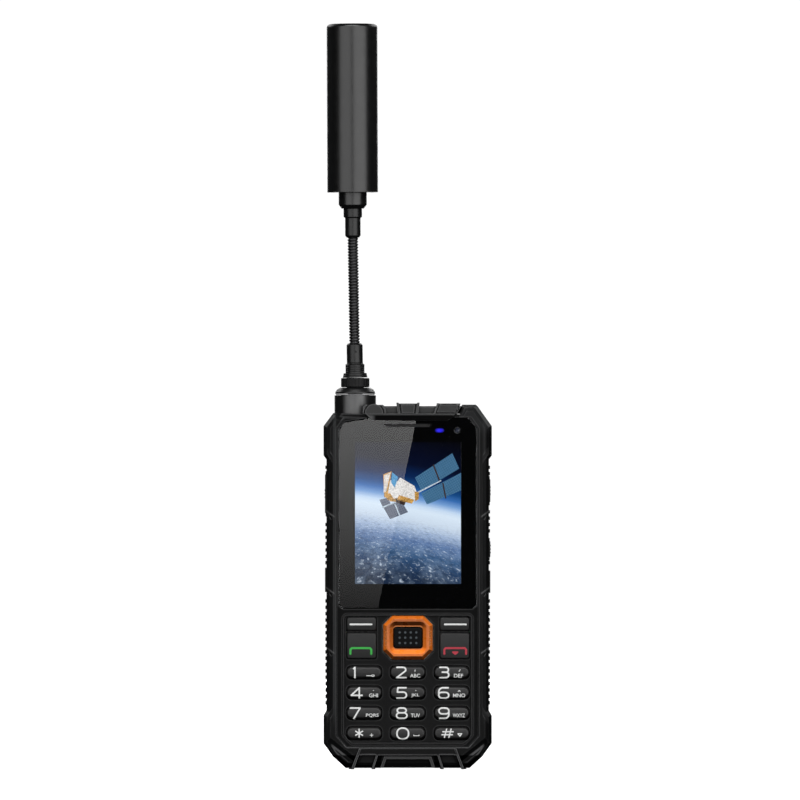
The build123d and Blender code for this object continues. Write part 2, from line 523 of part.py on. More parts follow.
with BuildPart() as rear_camera:
    slab(rect(CAM[0] - 4.5, CAM[0] + 4.5, CAM[1] - 4.5, CAM[1] + 4.5), 4.0, 8.4)
    round_y(CAM[0], CAM[1], 3.1, 8.3, 10.2)
    round_y(CAM[0], CAM[1], 1.4, 9.2, 11.0, mode=Mode.SUBTRACT)
    # flash lamp on the same carrier, and the stalk to the board
    slab(rect(CAM[0], FLASH[0] + 1.9, CAM[1] - 1.9, CAM[1] + 1.9), 7.6, 8.2)
    slab(rect(FLASH[0] - 1.9, FLASH[0] + 1.9, FLASH[1] - 1.9, FLASH[1] + 1.9), 7.6, 9.5)
    round_y(FLASH[0], FLASH[1], 1.7, 9.4, 11.2)
    slab(rect(CAM[0] - 2.0, CAM[0] + 2.0, CAM[1] - 1.5, CAM[1] + 1.5), -6.35, 4.1)
write(rear_camera.part, "rear_camera")

with BuildPart() as camera_window:
    round_y(CAM[0], CAM[1], 4.2, 10.45, 11.2)
    chamfer(camera_window.faces().sort_by(Axis.Y)[-1].edges(), 0.2)
write(camera_window.part, "camera_window")

with BuildPart() as loudspeaker:
    slab(rect(9.6, 20.4, 101.5, 117.0), 5.0, 9.5)
    slab(rect(10.4, 19.6, 102.3, 116.2), 9.2, 9.6, mode=Mode.SUBTRACT)
write(loudspeaker.part, "loudspeaker")

with BuildPart() as torch_lamp:
    round_z(0.1, 0, 2.45, 121.0, 125.9)
    round_z(0.1, 0, 3.4, 118.2, 120.8)
    round_z(0.1, 0, 2.45, 120.7, 121.1)
    with BuildSketch(Plane.XY.offset(126.0)) as cup:
        with Locations((0.1, 0)):
            Circle(2.0)
    extrude(cup.sketch, amount=-2.0, taper=25, mode=Mode.SUBTRACT)
write(torch_lamp.part, "torch_lamp")

with BuildPart() as headset_jack:
    block(JACK_X - 3.3, JACK_X + 3.3, -3.0, 3.0, 106.5, 120.6)
    round_z(JACK_X, 0, 3.0, 120.5, 123.2)
    block(JACK_X - 2.6, JACK_X + 2.6, -6.35, -2.9, 108.0, 117.0)
    round_z(JACK_X, 0, JACK_R, 108.2, 124.0, mode=Mode.SUBTRACT)
write(headset_jack.part, "headset_jack")

with BuildPart() as usb_port:
    block(-4.6, 4.6, -1.75, 1.75, 3.0, 9.8)
    block(-4.2, 4.2, -1.35, 1.35, 2.5, 8.8, mode=Mode.SUBTRACT)
    block(-3.3, 3.3, -0.35, 0.35, 4.4, 9.0)
    block(-4.6, 4.6, -6.35, -1.7, 6.6, 9.8)
write(usb_port.part, "usb_port")

with BuildPart() as housing_screws:
    for x, z in SCREWS:
        round_y(x, z, 1.55, -2.85, -1.3)
        round_y(x, z, 0.75, -8.4, -2.8)
        round_y(x, z, 0.7, -1.9, -1.0, mode=Mode.SUBTRACT)
write(housing_screws.part, "housing_screws")

# ------------------------------------------------------------------ side keys
for name, side, (z0, z1) in (("ptt_key", -1, PTT_Z), ("sos_key", 1, SOS_Z), ("torch_key", 1, TORCH_Z)):
    with BuildPart() as key:
        xa, xb = sorted((side * 24.3, side * HALF_BLOCK))
        block(xa, xb, -2.6, 2.6, z0, z1)
        fillet(key.edges().filter_by(Axis.X), 0.8)
        chamfer(key.faces().sort_by(Axis.X)[0 if side < 0 else -1].edges(), 0.35)
        xa, xb = sorted((side * 23.5, side * 24.35))
        block(xa, xb, -3.5, 3.5, z0 - 0.9, z1 + 0.9)
        for k in range(3):
            zc = (z0 + z1) / 2 + (k - 1) * 1.2
            xa, xb = sorted((side * 28.5, side * 28.75))
            block(xa, xb, -1.6, 1.6, zc - 0.25, zc + 0.25)
    write(key.part, name)

# ------------------------------------------------------------------ rubber flaps
with BuildPart() as usb_flap:
    slab([(-9.45, 0.5), (-8.15, 4.4), (8.15, 4.4), (9.45, 0.5)], -11.95, -10.75)
    slab([(-8.9, -1.0), (-7.4, 3.5), (7.4, 3.5), (8.9, -1.0)], -13.0, -11.15, mode=Mode.SUBTRACT)
    block(-8.9, 8.9, -10.9, 5.6, 0.5, 2.2)
    block(-3.8, 3.8, -1.0, 1.0, 2.1, 3.9)
    slab(rect(-2.6, 2.6, 0.5, 1.1), -11.6, -11.1)
write(usb_flap.part, "usb_flap")

with BuildPart() as jack_flap:
    block(11.3, 17.4, -11.7, 4.1, 123.9, 126.1)
    chamfer(jack_flap.faces().sort_by(Axis.Z)[-1].edges(), 0.35)
    slab([(9.85, 122.95), (10.95, 125.9), (17.75, 125.9), (16.3, 122.95)], -12.0, -11.4, taper=14)
    round_z(JACK_X, 0, 1.55, 123.45, 124.0)
write(jack_flap.part, "jack_flap")

# ------------------------------------------------------------------ antenna
with BuildPart() as antenna_socket:
    turned([(2.6, 116.4), (4.85, 116.4), (4.85, 129.05), (6.7, 129.05), (6.7, 129.4), (2.6, 129.4)])
write(antenna_socket.part, "antenna_socket")

with BuildPart() as antenna_base:
    turned([(0, 118.0), (2.5, 118.0), (2.5, 129.5), (6.97, 129.5), (6.9, 130.2), (6.3, 131.1), (5.4, 131.7),
            (3.0, 131.7), (3.0, 135.09), (0, 135.09)])
write(antenna_base.part, "antenna_base")

with BuildPart() as coupling_nut:
    turned([(3.1, 131.8), (4.6, 131.8), (4.93, 132.1), (4.93, 134.8), (4.75, 135.0), (3.1, 135.0)])
    for i in range(24):
        a = 2 * math.pi * i / 24
        round_z(ANT_X + 5.05 * math.cos(a), 5.05 * math.sin(a), 0.22, 131.0, 136.0, mode=Mode.SUBTRACT)
write(coupling_nut.part, "coupling_nut")


def neck_ribs(z0, z1):
    """(radius, z) points of a ribbed hose between two levels."""
    n = round((z1 - z0) / (PITCH / 6))
    p = (z1 - z0) / n
    pts = []
    for i in range(n):
        a = z0 + p * i
        pts += [(NECK_R - 0.3, a + 0.02 * p), (NECK_R - 0.3, a + 0.15 * p), (NECK_R, a + 0.32 * p),
                (NECK_R, a + 0.68 * p), (NECK_R - 0.3, a + 0.85 * p), (NECK_R - 0.3, a + 0.98 * p)]
    return pts


END = math.tan(math.radians(8.3))


def cut_end(z, up):
    """Removes the ends' outer edge as a shallow cone so that neighbours can bend 15 degrees."""
    s = 1 if up else -1
    big = 3.0
    turned([(0, z + s * 0.06), (big, z + s * (0.06 + big * END)), (big, z - s * 2.0), (0, z - s * 2.0)][::1],
           mode=Mode.SUBTRACT)


base_axis = Axis((ANT_X, 0, Z_NUT), (0, 1, 0))
top_axis = Axis((ANT_X, 0, JOINTS_Z[-1]), (0, 1, 0))


def leaned(part, head=False):
    if head:
        part = part.rotate(top_axis, HEAD_LEAN)
    return part.rotate(base_axis, LEAN)


with BuildPart() as lower_ferrule:
    turned([(0, 135.15), (4.3, 135.15), (4.0, 136.7), (3.3, 136.75), (3.3, 139.7), (3.1, 139.9), (2.8, 139.9),
            (2.8, 146.4), (2.3, NECK_0), (NECK_CORE, NECK_0), (NECK_CORE, JOINTS_Z[0] - 0.4),
            (NECK_CORE - 0.35, JOINTS_Z[0] - 0.06), (0, JOINTS_Z[0] - 0.06)])
    cut_end(JOINTS_Z[0], False)
    round_y(ANT_X + 0.35, 144.0, 0.35, -4.0, -2.3, mode=Mode.SUBTRACT)
write(leaned(lower_ferrule.part), "lower_ferrule")

for k in range(N_JOINT - 1):
    with BuildPart() as seg:
        z0, z1 = JOINTS_Z[k], JOINTS_Z[k + 1]
        turned([(0, z0 + 0.06), (NECK_R - 0.3, z0 + 0.06)] + neck_ribs(z0 + 0.06, z1 - 0.06)
               + [(NECK_R - 0.3, z1 - 0.06), (0, z1 - 0.06)])
        cut_end(z0, True)
        cut_end(z1, False)
    write(leaned(seg.part), f"neck_link_{k + 1}")

with BuildPart() as upper_ferrule:
    turned([(0, JOINTS_Z[-1] + 0.06), (NECK_CORE - 0.35, JOINTS_Z[-1] + 0.06), (NECK_CORE, JOINTS_Z[-1] + 0.4),
            (NECK_CORE, NECK_1), (2.2, NECK_1), (2.7, NECK_1 + 0.7), (2.7, 190.3), (2.9, 190.5), (3.22, 190.7),
            (3.22, 193.57), (0, 193.57)])
    cut_end(JOINTS_Z[-1], True)
write(leaned(upper_ferrule.part, head=True), "upper_ferrule")

with BuildPart() as radome:
    with BuildSketch(Plane.XZ) as s:
        Polygon((ANT_X, RADOME_0), (ANT_X + RADOME_R, RADOME_0), (ANT_X + RADOME_R, RADOME_1), (ANT_X, RADOME_1),
                align=None)
        fillet(s.vertices().sort_by(Axis.X)[-2:].sort_by(Axis.Y)[-1], 1.4)
    revolve(s.sketch, axis=Axis((ANT_X, 0, 0), (0, 0, 1)))
    turned([(0, RADOME_0 - 0.5), (7.5, RADOME_0 - 0.5), (7.5, RADOME_1 - 1.3), (0, RADOME_1 - 1.3)],
           mode=Mode.SUBTRACT)
    # collar that seats on the upper ferrule
    turned([(0, 193.6), (3.9, 193.6), (4.9, 194.9), (4.9, 199.1), (7.9, 199.3), (7.9, 201.1), (0, 201.1)])
write(leaned(radome.part, head=True), "radome")

with BuildPart() as helix_element:
    turned([(5.2, 201.3), (6.3, 201.3), (6.3, 252.0), (5.2, 252.0)])
    turned([(0, 201.3), (5.5, 201.3), (5.5, 203.0), (0, 203.0)])
    # four feed strips folded over the former's top
    for i in range(4):
        a = math.radians(45 + 90 * i)
        round_z(ANT_X + 6.25 * math.cos(a), 6.25 * math.sin(a), 0.45, 203.0, 252.4)
write(leaned(helix_element.part, head=True), "helix_element")

print(len(written), "parts")
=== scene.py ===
import json
import math
import random

import bmesh
import bpy
import numpy as np
from mathutils import Matrix, Vector
from mathutils.bvhtree import BVHTree

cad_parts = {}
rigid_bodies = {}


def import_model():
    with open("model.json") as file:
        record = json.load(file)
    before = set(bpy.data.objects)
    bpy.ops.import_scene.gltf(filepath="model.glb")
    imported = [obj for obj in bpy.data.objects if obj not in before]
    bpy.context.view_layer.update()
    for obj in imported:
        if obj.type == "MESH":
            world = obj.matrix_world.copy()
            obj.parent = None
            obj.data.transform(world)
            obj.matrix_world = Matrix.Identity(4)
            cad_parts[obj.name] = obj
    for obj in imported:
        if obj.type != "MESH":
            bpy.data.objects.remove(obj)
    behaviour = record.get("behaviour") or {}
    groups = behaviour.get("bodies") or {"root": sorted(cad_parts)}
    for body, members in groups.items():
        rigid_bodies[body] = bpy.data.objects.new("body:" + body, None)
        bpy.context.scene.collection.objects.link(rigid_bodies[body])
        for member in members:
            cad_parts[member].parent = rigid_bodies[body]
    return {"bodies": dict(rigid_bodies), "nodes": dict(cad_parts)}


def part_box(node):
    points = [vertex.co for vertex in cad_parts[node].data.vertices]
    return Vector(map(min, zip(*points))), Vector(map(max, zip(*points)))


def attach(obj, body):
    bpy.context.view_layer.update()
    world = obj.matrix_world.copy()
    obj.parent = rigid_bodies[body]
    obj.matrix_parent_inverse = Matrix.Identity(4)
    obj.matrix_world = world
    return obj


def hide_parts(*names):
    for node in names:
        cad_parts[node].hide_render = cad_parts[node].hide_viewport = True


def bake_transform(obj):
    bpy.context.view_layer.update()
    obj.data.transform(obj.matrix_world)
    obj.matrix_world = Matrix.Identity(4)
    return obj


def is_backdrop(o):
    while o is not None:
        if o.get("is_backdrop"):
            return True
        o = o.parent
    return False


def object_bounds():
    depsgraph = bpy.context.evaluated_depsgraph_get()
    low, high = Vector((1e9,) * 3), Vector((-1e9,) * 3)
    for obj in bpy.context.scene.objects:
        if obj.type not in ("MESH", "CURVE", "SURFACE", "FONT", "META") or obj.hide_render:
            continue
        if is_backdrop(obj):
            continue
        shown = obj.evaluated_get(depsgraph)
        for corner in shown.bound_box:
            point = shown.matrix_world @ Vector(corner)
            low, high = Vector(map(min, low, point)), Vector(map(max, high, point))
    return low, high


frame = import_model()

for o in list(bpy.data.objects):
    if o.name not in frame["nodes"] and o not in frame["bodies"].values():
        bpy.data.objects.remove(o)
bpy.context.view_layer.update()
MM = 0.001
random.seed(4)
N = frame["nodes"]


# ---------------------------------------------------------------- camera
SCALE = 0.345                       # millimetres per picture unit at the front face
LENS, SENSOR = 600.0, 36.0
FRONT = -11.5
DIST = SCALE * 800 * LENS / SENSOR  # millimetres from the front face
CAM = Vector((-2.65, FRONT - DIST, 127.4)) * MM
cam_data = bpy.data.cameras.new("Camera")
cam_data.lens = LENS
cam_data.sensor_width = SENSOR
cam_data.clip_end = 50
cam = bpy.data.objects.new("Camera", cam_data)
cam.location = CAM
cam.rotation_euler = (math.radians(90), 0, 0)
bpy.context.scene.collection.objects.link(cam)
bpy.context.scene.camera = cam
vs = bpy.context.scene.view_settings
vs.view_transform = "Standard"
vs.look = "None"
vs.exposure = 0.0
vs.gamma = 1.0


# ---------------------------------------------------------------- node helpers
class G:
    """Small helper for one material's node tree."""

    def __init__(self, name):
        self.m = bpy.data.materials.new(name)
        self.m.use_nodes = True
        self.t = self.m.node_tree
        self.t.nodes.clear()
        self.out = self.t.nodes.new("ShaderNodeOutputMaterial")
        self.co = self.t.nodes.new("ShaderNodeTexCoord")

    def n(self, kind, **kw):
        node = self.t.nodes.new(kind)
        for k, v in kw.items():
            if k in node.inputs.keys():
                node.inputs[k].default_value = v
            else:
                setattr(node, k, v)
        return node

    def l(self, a, b):
        self.t.links.new(a, b)

    def put(self, v, socket):
        if isinstance(v, bpy.types.NodeSocket):
            self.l(v, socket)
        else:
            socket.default_value = v

    def pos(self, scale=(1, 1, 1), rot=(0, 0, 0)):
        mp = self.n("ShaderNodeMapping")
        mp.inputs["Scale"].default_value = scale
        mp.inputs["Rotation"].default_value = rot
        self.l(self.co.outputs["Object"], mp.inputs["Vector"])
        return mp.outputs["Vector"]

    def noise(self, size_mm, detail=3, rough=0.55, vec=None, dist=0.0):
        t = self.n("ShaderNodeTexNoise")
        t.inputs["Scale"].default_value = 1000.0 / size_mm
        t.inputs["Detail"].default_value = detail
        t.inputs["Roughness"].default_value = rough
        t.inputs["Distortion"].default_value = dist
        self.l(vec or self.co.outputs["Object"], t.inputs["Vector"])
        return t.outputs["Fac"]

    def voronoi(self, size_mm, feature="F1", vec=None, out="Distance"):
        t = self.n("ShaderNodeTexVoronoi", feature=feature)
        t.inputs["Scale"].default_value = 1000.0 / size_mm
        self.l(vec or self.co.outputs["Object"], t.inputs["Vector"])
        return t.outputs[out]

    def math(self, op, a, b=0.0, c=0.0, clamp=False):
        t = self.n("ShaderNodeMath", operation=op, use_clamp=clamp)
        self.put(a, t.inputs[0])
        self.put(b, t.inputs[1])
        self.put(c, t.inputs[2])
        return t.outputs[0]

    def remap(self, v, a, b, c, d, smooth=False):
        t = self.n("ShaderNodeMapRange")
        if smooth:
            t.interpolation_type = "SMOOTHSTEP"
        self.put(v, t.inputs["Value"])
        for k, x in zip(("From Min", "From Max", "To Min", "To Max"), (a, b, c, d)):
            self.put(x, t.inputs[k])
        return t.outputs["Result"]

    def mix(self, f, a, b, blend="MIX"):
        t = self.n("ShaderNodeMix", data_type="RGBA", blend_type=blend)
        self.put(f, t.inputs[0])
        for v, k in ((a, 6), (b, 7)):
            if isinstance(v, (tuple, list)) and len(v) == 3:
                v = (*v, 1)
            self.put(v, t.inputs[k])
        return t.outputs[2]

    def ramp(self, f, stops, interp="LINEAR"):
        t = self.n("ShaderNodeValToRGB")
        e = t.color_ramp.elements
        t.color_ramp.interpolation = interp
        while len(e) > 1:
            e.remove(e[-1])
        e[0].position = stops[0][0]
        e[0].color = (*stops[0][1], 1)
        for p, c in stops[1:]:
            x = e.new(p)
            x.color = (*c, 1)
        self.put(f, t.inputs[0])
        return t.outputs["Color"]

    def bump(self, h, dist_mm, strength=1.0, normal=None):
        t = self.n("ShaderNodeBump")
        t.inputs["Strength"].default_value = strength
        t.inputs["Distance"].default_value = dist_mm * MM
        self.l(h, t.inputs["Height"])
        if normal is not None:
            self.l(normal, t.inputs["Normal"])
        return t.outputs["Normal"]

    def rounded(self, radius_mm, samples=6):
        t = self.n("ShaderNodeBevel", samples=samples)
        t.inputs["Radius"].default_value = radius_mm * MM
        return t.outputs["Normal"]

    def outer_edge(self, dist_mm=0.5, samples=4):
        """1 on outer edges, 0 on flats: looks for another face of the same piece just below the surface."""
        t = self.n("ShaderNodeAmbientOcclusion", samples=samples, inside=True, only_local=True)
        t.inputs["Distance"].default_value = dist_mm * MM
        return self.remap(t.outputs["AO"], 0.5, 0.92, 1, 0)

    def crevice(self, dist_mm=0.8, samples=4, low=0.25):
        """Painted shade: darkening factor for narrow gaps and inner corners."""
        t = self.n("ShaderNodeAmbientOcclusion", samples=samples, inside=False, only_local=False)
        t.inputs["Distance"].default_value = dist_mm * MM
        return self.remap(t.outputs["AO"], 0.35, 0.92, low, 1)

    def xyz(self):
        """Object coordinates in mm."""
        t = self.n("ShaderNodeSeparateXYZ")
        self.l(self.co.outputs["Object"], t.inputs[0])
        return [self.math("MULTIPLY", t.outputs[k], 1000.0) for k in range(3)]

    def tint(self, base, factor):
        """Multiplies a colour by a number."""
        cv = self.n("ShaderNodeCombineXYZ")
        for k in range(3):
            self.put(factor, cv.inputs[k])
        return self.mix(1.0, base, cv.outputs[0], "MULTIPLY")

    def surface(self, col, rough, normal=None, metal=0.0, spec=0.5, coat=0.0, coat_rough=0.1, ior=1.5,
                transmission=0.0, emit=None, emit_strength=0.0, sheen=0.0, subsurface=0.0, aniso=0.0):
        b = self.n("ShaderNodeBsdfPrincipled")
        if isinstance(col, (tuple, list)) and len(col) == 3:
            col = (*col, 1)
        self.put(col, b.inputs["Base Color"])
        self.put(rough, b.inputs["Roughness"])
        b.inputs["Metallic"].default_value = metal
        self.put(spec, b.inputs["Specular IOR Level"])
        b.inputs["Coat Weight"].default_value = coat
        b.inputs["Coat Roughness"].default_value = coat_rough
        b.inputs["IOR"].default_value = ior
        b.inputs["Transmission Weight"].default_value = transmission
        b.inputs["Sheen Weight"].default_value = sheen
        b.inputs["Anisotropic"].default_value = aniso
        if subsurface:
            b.inputs["Subsurface Weight"].default_value = subsurface
            b.inputs["Subsurface Scale"].default_value = 0.001
        if emit is not None:
            if isinstance(emit, (tuple, list)) and len(emit) == 3:
                emit = (*emit, 1)
            self.put(emit, b.inputs["Emission Color"])
            self.put(emit_strength, b.inputs["Emission Strength"])
        if normal is not None:
            self.l(normal, b.inputs["Normal"])
        self.l(b.outputs[0], self.out.inputs["Surface"])
        self.b = b
        return self.m


def moulded(name, col, rough=0.5, var=0.18, grain=0.22, height=0.012, spec=0.5, rough_var=0.07, coat=0.0, cell=False,
            scuff=0.0, sheen=0.0, edge=0.14, edge_highlight=0.0, edge_highlight_mm=0.5, painted_light=None, gaps=0.0, rings=None,
            edge_highlight_col=(0.105, 0.106, 0.108)):
    """Moulded plastic or rubber: spark-eroded grain, slow colour drift, faint scuffs; optionally painted light and
    shade, painted shade in gaps and painted highlights on outer edges.
    """
    g = G(name)
    slow = g.noise(9.0, 3)
    fine = g.noise(0.6, 4)
    f = g.math("ADD", g.math("MULTIPLY", slow, 0.65), g.math("MULTIPLY", fine, 0.35))
    base = g.mix(g.remap(f, 0.3, 0.7, 0, 1), tuple(c * (1 - var) for c in col), tuple(min(1, c * (1 + var)) for c in col))
    r = g.remap(g.noise(2.4, 3), 0.3, 0.7, rough - rough_var, rough + rough_var)
    if scuff:
        stretch = g.pos((1.0, 1.0, 0.18), (0.0, 0.35, 0.2))
        s = g.remap(g.noise(0.55, 5, 0.6, stretch), 0.62, 0.72, 0.0, scuff)
        base = g.mix(s, base, tuple(min(1, c * 2.6 + 0.03) for c in col))
        r = g.math("ADD", r, g.math("MULTIPLY", s, 0.25))
    # painted light and shade: colour and specular level are scaled by a factor set by position or facing
    if painted_light:
        shade = painted_light(g)
        base = g.tint(base, shade)
        if not coat:
            spec = g.math("MULTIPLY", g.math("MINIMUM", shade, 1.25), spec)
    if edge_highlight:
        # painted highlight: outer edges are painted paler, as if catching the light
        painted_highlight = g.math("MULTIPLY", g.outer_edge(edge_highlight_mm), edge_highlight)
        if painted_light:
            painted_highlight = g.math("MULTIPLY", painted_highlight, g.math("MINIMUM", shade, 1.0))
        base = g.mix(painted_highlight, base, edge_highlight_col)
    h = g.voronoi(grain, "SMOOTH_F1") if cell else g.noise(grain, 2, 0.5)
    h2 = g.noise(grain * 6, 2)
    nrm = g.bump(h2, height * 2, 0.35, g.bump(h, height, 0.6, g.rounded(edge) if edge else None))
    if rings:
        # turned grooves round the axis up to a level, with painted shade darkening the grooves
        pitch, top = rings
        zz = g.xyz()[2]
        wave = g.math("SINE", g.math("MULTIPLY", zz, 2 * math.pi / pitch))
        groove = g.math("MULTIPLY", g.remap(wave, -1.0, -0.35, 1, 0), g.remap(zz, top, top + 0.4, 1, 0))
        base = g.tint(base, g.math("SUBTRACT", 1.0, g.math("MULTIPLY", groove, 0.6)))
        nrm = g.bump(g.math("SUBTRACT", 1.0, groove), 0.12, 1.0, nrm)
    # painted shade in gaps and inner corners darkens the colour and the specular level
    if gaps:
        k = g.crevice(gaps)
        base = g.tint(base, k)
        spec = g.math("MULTIPLY", k, spec)
    return g.surface(base, r, nrm, spec=spec, coat=coat, sheen=sheen)


def crowned(name, col, rough, crown=0.10, shade=0.35, z0=0.11, z1=0.89, edge=0.25, spec=0.5):
    """Key plastic whose face bulges gently (a bump, taller in the middle), with painted light: lighter towards the top
    edge, darker towards the bottom.
    """
    g = G(name)
    sp = g.n("ShaderNodeSeparateXYZ")
    g.l(g.co.outputs["Generated"], sp.inputs[0])
    t = g.remap(sp.outputs[2], z0, z1, 0, 1)
    c = g.math("SUBTRACT", t, 0.5)
    dome = g.math("SUBTRACT", 1.0, g.math("MULTIPLY", g.math("MULTIPLY", c, c), 4.0))
    fine = g.noise(0.5, 3)
    # painted light: the key face is lighter towards its top edge and darker towards its bottom
    painted_light = g.remap(t, 0.0, 1.0, 1 - shade, 1 + shade)
    base = g.mix(g.remap(fine, 0.3, 0.7, 0, 1), tuple(x * 0.9 for x in col), tuple(min(1, x * 1.1) for x in col))
    cv = g.n("ShaderNodeCombineXYZ")
    for k in range(3):
        g.l(painted_light, cv.inputs[k])
    base = g.mix(1.0, base, cv.outputs[0], "MULTIPLY")
    nrm = g.bump(fine, 0.002, 0.5, g.bump(dome, crown, 1.0, g.rounded(edge)))
    return g.surface(base, g.remap(g.noise(2.4, 3), 0.3, 0.7, rough - 0.03, rough + 0.03), nrm, spec=spec)


def metal(name, col, rough=0.3, brush=None, dist=0.004, var=0.12, aniso=0.0):
    g = G(name)
    vec = g.pos(brush) if brush else None
    f = g.noise(0.5, 4, 0.6, vec)
    base = g.mix(g.remap(f, 0.3, 0.7, 0, 1), tuple(c * (1 - var) for c in col), tuple(min(1, c * (1 + var)) for c in col))
    r = g.remap(f, 0.25, 0.75, max(0.05, rough - 0.1), rough + 0.12)
    return g.surface(base, r, g.bump(f, dist, 0.7, g.rounded(0.06)), metal=1.0, aniso=aniso)


# ---------------------------------------------------------------- materials
def bumper_painted_light(g):
    """Painted light and shade on the bumper: left-facing flanks are painted paler as if lit from the left; the right
    side and the recesses of the bottom lip are painted darker.
    """
    x, y, z = g.xyz()
    geo = g.n("ShaderNodeNewGeometry")
    nx = g.n("ShaderNodeSeparateXYZ")
    g.l(geo.outputs["Normal"], nx.inputs[0])
    # painted light: left-facing surfaces are painted paler
    side = g.remap(nx.outputs[0], -0.75, -0.12, 3.2, 1.0)
    right = g.remap(x, 20.0, 26.0, 1.0, 0.8)
    # painted highlights on the long crests, paler than the front of the bumper
    above = g.remap(z, 14.0, 22.0, 0, 1)
    left_crest = g.math("MULTIPLY", g.remap(x, -25.9, -25.6, 0, 1), g.remap(x, -24.8, -24.6, 1, 0))
    right_mid = g.math("MULTIPLY", g.remap(x, 25.7, 26.0, 0, 1), g.remap(x, 27.0, 27.4, 1, 0))
    side = g.math("ADD", side, g.math("MULTIPLY", g.math("ADD", g.math("MULTIPLY", left_crest, 7.0), g.math("MULTIPLY", right_mid, 4.0)), above))
    # painted highlight on the upper right shoulder
    side = g.math("ADD", side, g.math("MULTIPLY", g.math("MULTIPLY", g.remap(z, 115.0, 119.0, 0, 1), g.remap(x, 17.0, 19.0, 0, 1)), 5.0))
    # painted shade in the recesses of the bottom lip
    lip = g.math("MULTIPLY", g.remap(z, 4.7, 4.95, 1, 0), g.remap(y, -12.29, -12.22, 0, 1))
    return g.math("MULTIPLY", g.math("MULTIPLY", side, right), g.math("SUBTRACT", 1.0, g.math("MULTIPLY", lip, 0.95)))


def painted_seam_highlights(g):
    """Painted highlights along the lips of the three slanted seams on each flank."""
    x, y, z = g.xyz()
    ax = g.math("ABSOLUTE", x)
    out = None
    for zc in (88.1, 61.6, 41.0):
        d = g.math("ABSOLUTE", g.math("SUBTRACT", g.math("SUBTRACT", z, zc), g.math("MULTIPLY", g.math("SUBTRACT", ax, 26.7), 0.7)))
        m = g.remap(d, 0.16, 0.42, 1, 0)
        out = m if out is None else g.math("MAXIMUM", out, m)
    span = g.math("MULTIPLY", g.remap(ax, 25.1, 25.6, 0, 1), g.remap(ax, 28.0, 28.6, 1, 0))
    return g.math("MULTIPLY", g.math("MULTIPLY", out, span), g.remap(y, -4.0, -7.0, 0, 1))


def bumper():
    g = G("rubber_bumper")
    slow, fine = g.noise(9.0, 3), g.noise(0.6, 4)
    f = g.math("ADD", g.math("MULTIPLY", slow, 0.65), g.math("MULTIPLY", fine, 0.35))
    base = g.mix(g.remap(f, 0.3, 0.7, 0, 1), (0.0020, 0.0021, 0.0022), (0.0031, 0.0032, 0.0033))
    base = g.tint(base, bumper_painted_light(g))
    stretch = g.pos((1.0, 1.0, 0.18), (0.0, 0.35, 0.2))
    sc = g.remap(g.noise(0.55, 5, 0.6, stretch), 0.62, 0.72, 0.0, 0.08)
    base = g.mix(sc, base, (0.03, 0.03, 0.031))
    z = g.xyz()[2]
    # painted highlight on outer edges, stronger on the bottom lip's ribs
    base = g.mix(g.math("MULTIPLY", g.outer_edge(0.55), g.remap(z, 8.0, 9.5, 0.62, 0.55)), base,
                 g.mix(g.remap(z, 8.0, 9.5, 0, 1), (0.20, 0.201, 0.205), (0.10, 0.101, 0.103)))
    # painted highlights along the slanted seams
    base = g.mix(g.math("MULTIPLY", painted_seam_highlights(g), 0.7), base, (0.12, 0.121, 0.123))
    r = g.math("ADD", g.remap(g.noise(2.4, 3), 0.3, 0.7, 0.36, 0.46), g.math("MULTIPLY", sc, 0.25))
    nrm = g.bump(g.noise(0.96, 2), 0.02, 0.35, g.bump(g.voronoi(0.16, "SMOOTH_F1"), 0.010, 0.6, g.rounded(0.22)))
    # painted shade in gaps, inner corners and the recesses of the bottom lip darkens colour and specular level
    k = g.crevice(0.8)
    x, y, z = g.xyz()
    lip = g.math("MULTIPLY", g.remap(z, 4.7, 4.95, 1, 0), g.remap(y, -12.29, -12.22, 0, 1))
    k = g.math("MULTIPLY", k, g.math("SUBTRACT", 1.0, g.math("MULTIPLY", lip, 0.9)))
    return g.surface(g.tint(base, k), r, nrm, spec=g.math("MULTIPLY", k, 0.10))


def flap_painted_shade(g):
    """Painted shade on flap faces set back behind their rims."""
    x, y, z = g.xyz()
    low = g.math("MULTIPLY", g.remap(z, 5.0, 6.0, 1, 0), g.remap(y, -11.93, -11.85, 0, 1))
    return g.math("SUBTRACT", 1.0, g.math("MULTIPLY", low, 0.92))


def cap_painted_shade(g):
    """Painted shade on the lip over the glass."""
    x, y, z = g.xyz()
    low = g.math("MULTIPLY", g.remap(z, 121.9, 122.5, 1, 0), g.remap(x, -12.5, -11.0, 0, 1))
    return g.math("SUBTRACT", 1.0, g.math("MULTIPLY", low, 0.96))


def boss_painted_highlight(g):
    """Painted highlight: the round antenna boss is palest along the middle of its front and darker towards its sides.
    """
    geo = g.n("ShaderNodeNewGeometry")
    nx = g.n("ShaderNodeSeparateXYZ")
    g.l(geo.outputs["Normal"], nx.inputs[0])
    x, y, z = g.xyz()
    a = g.remap(g.math("ABSOLUTE", g.math("ADD", nx.outputs[0], 0.04)), 0.08, 0.60, 2.6, 0.35)
    return g.math("MULTIPLY", a, 1.0)


def ring_painted_light(g):
    """Painted light and shade: slopes that face down are painted darker and those that face up lighter, the lower part
    lighter and the right-facing side darker.
    """
    geo = g.n("ShaderNodeNewGeometry")
    nn = g.n("ShaderNodeSeparateXYZ")
    g.l(geo.outputs["Normal"], nn.inputs[0])
    up = g.remap(nn.outputs[2], -0.60, 0.60, 0.22, 1.78)
    up = g.math("MULTIPLY", up, g.remap(g.xyz()[2], 39.0, 51.0, 1.28, 0.80))
    return g.math("MULTIPLY", up, g.remap(nn.outputs[0], -0.6, 0.6, 1.12, 0.88))


